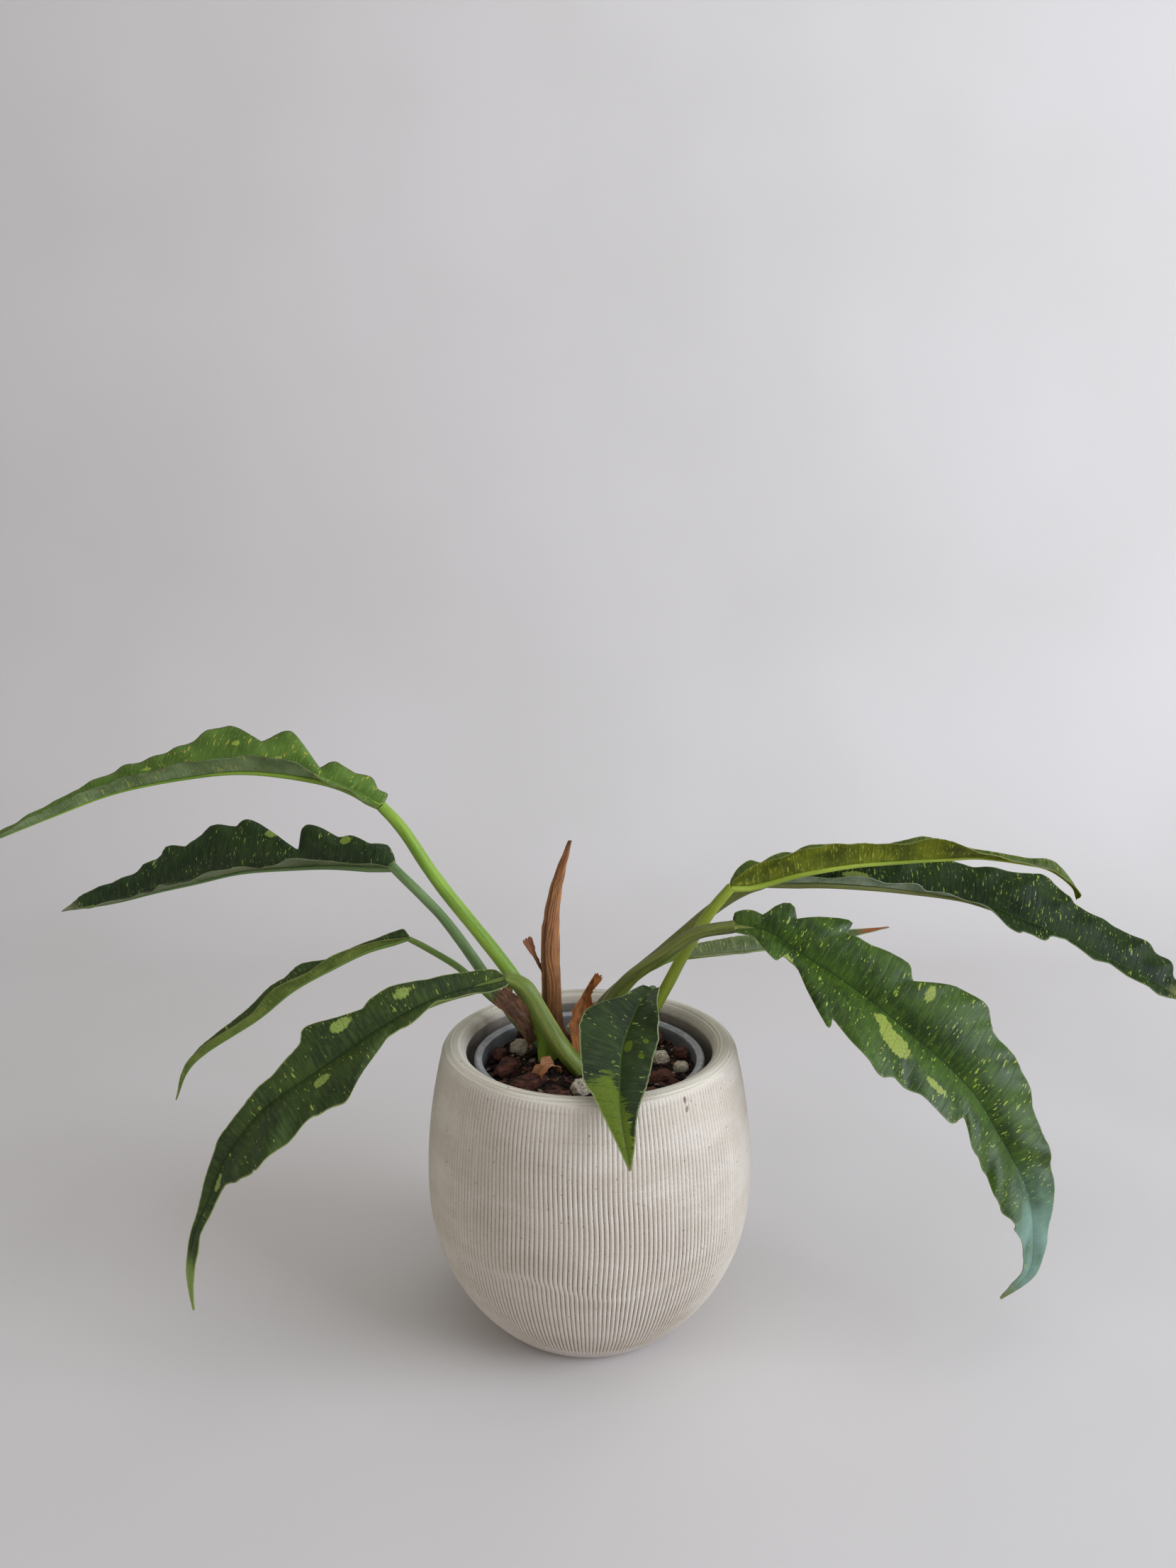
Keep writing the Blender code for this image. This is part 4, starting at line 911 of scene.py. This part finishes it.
def growLeaf(key, leaf):
    skin = stalkSkin(key, leaf)
    middle = np.array([0, 0, mixTop])
    blade = [(shell[0] + middle, *shell[1:]) for shell in growBlade(leaf)]
    skins = [leafTop(key, leaf), leafUnder(key, leaf), leafEdge(key, leaf), skin]
    makePiece("leafBlade" + capital(key), blade, skins, leaf["node"] + "_blade")
    share = np.linspace(0, 1, bladeMake["stalkRings"])
    path = smoothPath(leaf["stalk"] + (leaf["spine"][0],), share)
    radii = np.interp(share, np.linspace(0, 1, len(leaf["stalkRadius"])), leaf["stalkRadius"])
    points, faces, place = tube(path, radii, bladeMake["stalkSides"], leaf["seed"], rough=0.03)
    makePiece("leafStalk" + capital(key), [(points + middle, faces, 0, {"veinPlace": place})], [skin],
              leaf["node"] + "_stalk")


for key, leaf in leaves.items():
    growLeaf(key, leaf)
print("leaves grown")


# The stem, the dried spike and the dried sheaths; points as for the leaves.
stemShape = dict(axis=(-10.0, 10.0), radius=6.0, foot=-30.0, top=6.0, sides=40, scars=(-6.0, -1.0, 2.8))
spikeShape = dict(
    path=((-15, 12, 7), (-19, 12, 24), (-20, 12, 46), (-20, 12, 64), (-19.5, 12, 83), (-15.5, 12, 103),
          (-10, 12, 121)),
    radii=(4.9, 4.7, 4.4, 4.2, 3.7, 2.5, 0.9),
    fibres=19, fibreDepth=0.16, slitAt=3.75, slitDepth=1.6, slitWidth=0.2, overlap=0.9, rows=120, columns=132,
    colours=("#875532", "#a26c3e", "#c29058"),
)
sheaths = dict(
    left=dict(spine=((-31, 0, 14), (-36, -1, 26), (-42, -2, 34), (-49, -3, 42)),
              up=((0.6, -0.5, 0.6), (0.6, -0.5, 0.6)),
              right=((0, 4, 40), (0.5, 7, 45), (0.85, 8, 40), (1, 7, 30)),
              left=((0, 4, 40), (0.5, 6, 45), (0.85, 7, 40), (1, 6, 30)), torn=5.0, wrinkle=0.7, seed=21,
              colours=("#5c3a28", "#84583c", "#bd9672")),
    right=dict(spine=((-3.5, 0, 4), (-5, 1, 22), (-4, 1, 36), (0, 0, 46), (5, -1, 53)),
               up=((0.3, -1.0, 0.2), (0.5, -1.0, 0.2)),
               right=((0, 5, 30), (0.3, 8.5, 34), (0.5, 7, 45), (0.64, 3, 60), (0.8, 2.2, 70), (1, 3, 20)),
               left=((0, 4, 30), (0.35, 7, 40), (0.52, 5.5, 55), (0.6, 2.5, 70), (0.8, 2, 70), (1, 2.4, 20)),
               torn=1.0, wrinkle=0.8, seed=22, colours=("#7d4720", "#a8672f", "#c98d4e")),
    tuft=dict(spine=((-24.5, 12, 50), (-27.5, 12, 56), (-30.5, 12, 62), (-33.5, 12, 68)),
              up=((0.5, -0.8, 0.4), (0.5, -0.8, 0.4)),
              right=((0, 0.8, 20), (0.5, 1.2, 20), (0.8, 2.6, 30), (1, 3, 30)),
              left=((0, 0.8, 20), (0.5, 1.2, 20), (0.8, 2.4, 30), (1, 3, 30)),
              torn=1.0, wrinkle=0.3, seed=23, colours=("#6a3c20", "#8f5630", "#a9734a")),
    curl=dict(spine=((-15.5, -14, 5), (-18, -16.5, 9.5), (-21.5, -19, 10.5), (-25, -21, 7), (-26, -22, 3)),
              up=((-0.3, -0.3, 1.0), (-0.8, -0.8, 0.3)),
              right=((0, 1.5, 20), (0.3, 4, 35), (0.7, 4, 45), (1, 1.5, 20)),
              left=((0, 1.5, 20), (0.3, 3.5, 35), (0.7, 4.5, 45), (1, 1.5, 20)),
              torn=1.4, wrinkle=0.9, seed=24, colours=("#80502a", "#ad7142", "#cf9a68")),
    scrap=dict(spine=((1, -16, 1.5), (5, -15, 3.8), (9.5, -14, 4.6)),
               up=((0.0, -0.4, 1.0), (0.0, -0.4, 1.0)),
               right=((0, 0.8, 15), (0.5, 3, 20), (1, 0.7, 15)),
               left=((0, 0.8, 15), (0.5, 3, 20), (1, 0.7, 15)),
               torn=0.6, wrinkle=0.4, seed=25, colours=("#6a3c22", "#8a5530", "#a87a52")),
)


def driedFibre(name, colours):
    # a dead sheath, dried on the plant: papery brown with lengthwise fibres and darker stains
    material, node = newMaterial("airDriedSheath." + name)
    place = node("markedPlace", attribute_name="fibrePlace")
    fibres, stains, specks = mottling(node, place, (26, 0.55, 1, 3), (9, 3.5, 1, 4), (1.2, 0.5, 1, 2))
    colour = paintOver(node, colours[0], (stains, 0.34, 0.66, 1, colours[1]),
                       (fibres, 0.45, 0.72, 0.7, colours[2]), (specks, 0.42, 0.3, 0.55, "#2f1d14"))
    # darker where the fibrePlace mark is high: towards the base, at the spike's tip, and painted shade inside
    # the spike's slit
    low = node("step", node("split", place)["Z"], 0, 1)
    colour = node("blend", node("multiply", low, 0.55), colour, "#3a241b")
    relief = node("add", fibres, node("multiply", specks, 0.5))
    return finishSurface(material, colour, node("step", stains, 0.3, 0.7, 0.5, 0.72), relief, 0.3)


def makeSpike():
    # a rolled sheath: fine fibres, one slit where its edges meet, drawn out to a bent tip
    shape = spikeShape
    share = np.linspace(0, 1, shape["rows"])
    path = smoothPath(shape["path"], share)
    path[:, 0] += 0.25 * wobble(share * 6, 31)
    radius = np.interp(share, np.linspace(0, 1, len(shape["radii"])), shape["radii"])[:, None]
    angle = roundAngles(shape["columns"])
    length = pathLength(path)[:, None]
    drift = 0.3 * wobble(length / 60, 32)
    fibre = np.sin(shape["fibres"] * (angle + drift) + 2 * np.sin(3 * angle + length / 25))
    away = np.angle(np.exp(1j * (angle[None] - shape["slitAt"] + 0.5 * drift)))
    slit = shape["slitDepth"] * np.exp(-(away / shape["slitWidth"]) ** 2)
    slit = slit * np.interp(share, (0, 0.86, 1), (1, 0.8, 0))[:, None]
    fold = 0.35 * np.exp(-((away - 1.4) / 0.3) ** 2) - 0.25 * np.exp(-((away - 1.9) / 0.2) ** 2)
    lapped = np.interp(share, (0, 0.1, 0.6, 0.64), (0, 0.5, 1.0, 0))[:, None]
    overlap = shape["overlap"] * np.exp(-((away + 0.42) / 0.3) ** 2) * lapped
    relief = (shape["fibreDepth"] * fibre + fold) * np.minimum(1, radius / 2)
    full = radius * (1 + 0.06 * np.cos(2 * angle)) + relief - slit * np.minimum(1, radius / 3) + overlap
    points = path[:, None] + np.stack([full * np.cos(angle), full * np.sin(angle), 0 * full], -1)
    points[..., 2] += mixTop
    end = length[-1, 0]
    dark = np.interp(length, (0, 22, 45, end - 7, end - 1), (1.0, 0.45, 0.0, 0.0, 1.0))
    # painted shade: the colour is darkened inside the slit, where the edges meet
    dark = np.clip(dark + np.clip(slit, 0, 1) * 0.9, 0, 1)
    place = np.stack([length + 0 * angle, angle * radius, dark], -1)
    shell = (points.reshape(-1, 3), roundFaces(shape["rows"], shape["columns"]), 0,
             {"fibrePlace": place.reshape(-1, 3)})
    makePiece("driedSpike", [shell], [driedFibre("spike", shape["colours"])], "dried_spike")


def makeSheath(key, sheath, rows=60, reaches=10, thickness=0.35):
    # a torn, curled scrap of sheath: an arched strip with a ragged end and wrinkles along it
    share = np.linspace(0, 1, rows)
    spine, tangent, up, side, length = followSpine(sheath, share)
    seed, wrinkle = sheath["seed"], sheath["wrinkle"]
    widths = {sign: outlineAlong(sheath[name], share) for sign, name in ((-1, "left"), (1, "right"))}
    lines, places = [], []
    for reach in np.linspace(-1, 1, 2 * reaches - 1):
        width, lift = widths[-1 if reach < 0 else 1]
        width = width * (1 + 0.12 * wobble(length / 5, seed + (3 if reach < 0 else 4)))
        bend = lift * abs(reach) * 1.8            # the strip bends into part of a circle: its sides roll up
        flat = np.sign(reach) * width * abs(reach) * np.sinc(bend / np.pi / 2)
        rise = width * abs(reach) * np.sin(bend / 2)
        tear = sheath["torn"] * (wobble(np.array([reach * 2.3]), seed)[0] * 0.8 - 0.2)
        pull = tear * np.clip((share - 0.75) / 0.25, 0, 1) ** 2
        crease = wrinkle * wobble(np.full(rows, reach * 2.2) + share * 0.5, seed + 9)
        crease = crease * wobble(length / 9, seed + 8) * 0.8
        crease = crease + 0.25 * wrinkle * wobble(length / 4 + reach, seed + 5)
        lines.append(spine + side * flat[:, None] + up * (rise + crease)[:, None] + tangent * pull[:, None])
        dark = np.interp(length, (0, 18), (0.7, 0.0))
        places.append(np.stack([length, np.full(rows, reach * 6.0), dark], 1))
    top, place = np.stack(lines, 1), np.stack(places, 1)
    points = np.concatenate([top.reshape(-1, 3), (top - sheetNormals(top) * thickness).reshape(-1, 3)])
    faces, edge = sheetFaces(*top.shape[:2])
    marks = {"fibrePlace": np.tile(place.reshape(-1, 3), (2, 1))}
    shell = (points + np.array([0, 0, mixTop]), faces + edge, 0, marks)
    makePiece("driedSheath" + capital(key), [shell], [driedFibre(key, sheath["colours"])],
              "dried_sheath_" + key)


def stemBark():
    # the crown's short stem: green-brown, corky, ringed by the scars of old leaves
    material, node = newMaterial("corkyPhilodendronStem")
    place = placeInMm(node)
    rings, cork = mottling(node, place, (20, 20, 1.4, 3), (1.8, 1.8, 1.8, 4))
    colour = paintOver(node, "#4c4a28", (rings, 0.38, 0.62, 1, "#6c6a38"), (cork, 0.45, 0.68, 0.8, "#5a4230"))
    roughness = node("step", cork, 0.3, 0.7, 0.55, 0.75)
    return finishSurface(material, colour, roughness, node("add", rings, cork), 0.5)


def makeStem():
    shape = stemShape
    z = np.linspace(shape["foot"], shape["top"], 60)
    radius = shape["radius"] * (0.93 + 0.04 * wobble(z / 12, 41))
    for scar in shape["scars"]:
        radius = radius + 0.35 * np.exp(-((z - scar) / 0.8) ** 2)
    radius = np.r_[radius[:-1], radius[-1] * 0.9, radius[-1] * 0.55, 0.4]
    z = np.r_[z, shape["top"] + 0.3, shape["top"] + 0.4]
    path = np.stack([0 * z + shape["axis"][0], 0 * z + shape["axis"][1], z + mixTop], 1)
    angle = roundAngles(shape["sides"])
    lumpy = radius[:, None] * (1 + 0.04 * np.sin(3 * angle + z[:, None] / 5))
    points = path[:, None] + np.stack([lumpy * np.cos(angle), lumpy * np.sin(angle), 0 * lumpy], -1)
    shell = (points.reshape(-1, 3), roundFaces(len(z), shape["sides"]), 0, {})
    makePiece("stem", [shell], [stemBark()], "stem")


makeStem()
makeSpike()
for key, sheath in sheaths.items():
    makeSheath(key, sheath)
print("stem, spike and dried sheaths made")


# Bark chips, pumice and lava rock, each shaped from its solid in the frame. Sizes in mm.
chunkKinds = dict(
    bark_chip=dict(piece="barkChip", slot="bark", voxel=0.55, grow=1.05, rounding=6, lumps=0.35,
                   plates=0.55, pits=0.0),
    pumice_stone=dict(piece="pumiceStone", slot="pumice", voxel=0.42, grow=1.22, rounding=6, lumps=0.5,
                      plates=0.0, pits=0.4),
    lava_rock=dict(piece="lavaRock", slot="lava_rock", voxel=0.42, grow=1.1, rounding=6, lumps=0.9,
                   plates=0.0, pits=0.75),
)


def brokenBark():
    # pine bark, broken and composted: red-brown layered plates with darker splits and pale scuffs
    material, node = newMaterial("brokenPineBark")
    place = placeInMm(node)
    layers = node("cloud", node("stretch", place, (6, 6, 0.8)), 4, 0.4)
    stains, grain = mottling(node, place, (5, 5, 5, 3), (0.9, 0.9, 0.5, 3))
    colour = paintOver(node, "#2e1a15", (layers, 0.36, 0.62, 1, "#5a3226"),
                       (stains, 0.5, 0.7, 0.6, "#764532"), (grain, 0.62, 0.75, 0.4, "#a5806a"))
    roughness = node("step", grain, 0.3, 0.7, 0.7, 0.9)
    return finishSurface(material, colour, roughness, node("add", layers, grain), 0.5, 0.3)


def pittedStone(name, colours, pore):
    # frothy volcanic stone, crushed and tumbled: its open bubbles show as dark pits, with shade painted into
    # the holes; pore in mm
    material, node = newMaterial(name)
    place = placeInMm(node)
    bubbles = node("cells", node("stretch", place, (pore, pore, pore)))["Distance"]
    tone, dust = mottling(node, place, (4, 4, 4, 3), (0.7, 0.7, 0.7, 2))     # coarse dust, so that it shows
    pit = node("step", node("add", bubbles, node("multiply", dust, 0.35)), 0.5, 0.3)
    colour = paintOver(node, colours[0], (tone, 0.35, 0.65, 1, colours[1]),
                       (dust, 0.55, 0.7, 0.6, colours[2]))
    # painted shade: the colour darkens inside each bubble pit
    colour = node("blend", node("multiply", pit, 0.8), colour, colours[3])
    relief = node("subtract", dust, node("multiply", pit, 1.2))
    return finishSurface(material, colour, node("step", dust, 0.3, 0.7, 0.8, 0.95), relief, 0.5, 0.25)


def shapeChunk(node, kind, material, seed):
    # the frame's plain solid, remeshed finely, rounded, then broken up along its own faces
    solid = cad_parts[node]
    rough = bpy.data.objects.new("rough", solid.data.copy())
    bpy.context.scene.collection.objects.link(rough)
    remesh = rough.modifiers.new("fine", "REMESH")
    remesh.mode, remesh.voxel_size = "VOXEL", kind["voxel"] * mm
    fine = solidMesh(rough)
    bpy.data.objects.remove(rough)
    work = bmesh.new()
    work.from_mesh(fine)
    bpy.data.meshes.remove(fine)
    for _ in range(kind["rounding"]):
        bmesh.ops.smooth_vert(work, verts=work.verts, factor=0.5,
                              use_axis_x=True, use_axis_y=True, use_axis_z=True)
    work.normal_update()
    points = np.array([v.co[:] for v in work.verts]) / mm
    normals = np.array([v.normal[:] for v in work.verts])
    faces = [tuple(v.index for v in f.verts) for f in work.faces]
    work.free()
    centre = points.mean(0)
    axes = np.linalg.svd(points - centre, full_matrices=False)[2]
    local = (points - centre) @ axes.T
    push = np.zeros(len(points))
    for k, (p, q) in enumerate(zip(points, local)):
        spot = Vector(p) + Vector((seed * 17.0, 0, 0))
        push[k] = kind["lumps"] * noise.fractal(spot / 3.2, 1.0, 2.0, 3)
        if kind["plates"]:
            sheet = Vector((q[0] / 9, q[1] / 3.5, q[2] / 0.9 + seed * 5.0))
            fine = Vector((q[0] / 5, q[1] / 0.8, q[2]))
            push[k] += kind["plates"] * noise.noise(sheet) + 0.25 * noise.noise(fine)
        if kind["pits"]:
            near = noise.voronoi(spot / 1.5)[0][0]
            push[k] -= kind["pits"] * max(0.0, 1 - near / 0.55) ** 0.7
    points = centre + (points - centre) * kind["grow"] + normals * push[:, None]
    number = node.rsplit("_", 1)[1]
    makePiece(kind["piece"] + number, [(points, faces, 0, {})], [material], node, 80)


chunkSkins = dict(
    bark_chip=brokenBark(),
    pumice_stone=pittedStone("tumbledPumice", ("#b0a48e", "#c9beaa", "#dcd3c2", "#3f362c"), 1.3),
    lava_rock=pittedStone("crushedLavaRock", ("#331c19", "#4a2a25", "#633b33", "#180e0d"), 1.7),
)
for number, node in enumerate(sorted(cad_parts)):
    for start, kind in chunkKinds.items():
        if node.startswith(start):
            shapeChunk(node, kind, chunkSkins[start], number)
print("chunks broken up")


# The floor and the lights.
studio = dict(colours=("#d3cfcb", "#d7d3d0"), depth=0.55, width=6.0, rise=1.9, corner=0.35, front=2.2)
panels = dict(                                    # place, aim, size, watts and tint
    skyWindow=((2.0, -0.85, 0.9), (0.05, 0, 0.12), (1.5, 1.6), 54, "#eaf1ff"),
    roomFill=((-1.2, -1.3, 1.0), (-0.05, 0, 0.15), (1.4, 1.4), 4, "#fff4e8"),
    topSoft=((0.2, -0.2, 1.7), (0, 0, 0.1), (1.4, 1.2), 5, "#ffffff"),
)


def paintedBoard():
    # a painted board, rolled on flat: pale, dull and almost even
    material, node = newMaterial("palePaintedBoard")
    place = placeInMm(node)
    paint, = mottling(node, place, (300, 300, 300, 2))
    colour = paintOver(node, studio["colours"][0], (paint, 0.3, 0.7, 1, studio["colours"][1]))
    return finishSurface(material, colour, 0.75, shine=0.2)


def makeFloor():
    # one pale sweep: flat under the pot, curved up behind it
    shape = studio
    profile = [(-shape["front"], 0.0)]
    for turn in np.linspace(0, math.pi / 2, 16):
        back = shape["depth"] + shape["corner"] * math.sin(turn)
        profile.append((back, shape["corner"] * (1 - math.cos(turn))))
    profile.append((shape["depth"] + shape["corner"], shape["rise"]))
    points = [(x, y, z) for y, z in profile for x in (-shape["width"] / 2, shape["width"] / 2)]
    mesh = bpy.data.meshes.new("floor")
    mesh.from_pydata(points, [], [face[::-1] for face in gridFaces(len(profile), 2)])
    mesh.shade_smooth()
    mesh.materials.append(paintedBoard())
    floor = bpy.data.objects.new("floor", mesh)
    bpy.context.scene.collection.objects.link(floor)


def addPanel(name, place, target, size, power, colour):
    light = bpy.data.lights.new(name, "AREA")
    light.shape, light.size, light.size_y = "RECTANGLE", size[0], size[1]
    light.energy = power
    light.color = linear(colour)[:3]
    lamp = bpy.data.objects.new(name, light)
    lamp.location = place
    lamp.rotation_euler = (Vector(target) - Vector(place)).to_track_quat("-Z", "Y").to_euler()
    bpy.context.scene.collection.objects.link(lamp)


makeFloor()
for name, panel in panels.items():
    addPanel(name, *panel)
world = bpy.data.worlds.new("studioAir")
world.use_nodes = True
fillInputs(world.node_tree.nodes["Background"], {"Color": "#e9ebee", "Strength": 0.375})
bpy.context.scene.world = world
bpy.context.scene.view_settings.view_transform = "Standard"
print("floor and lights set")
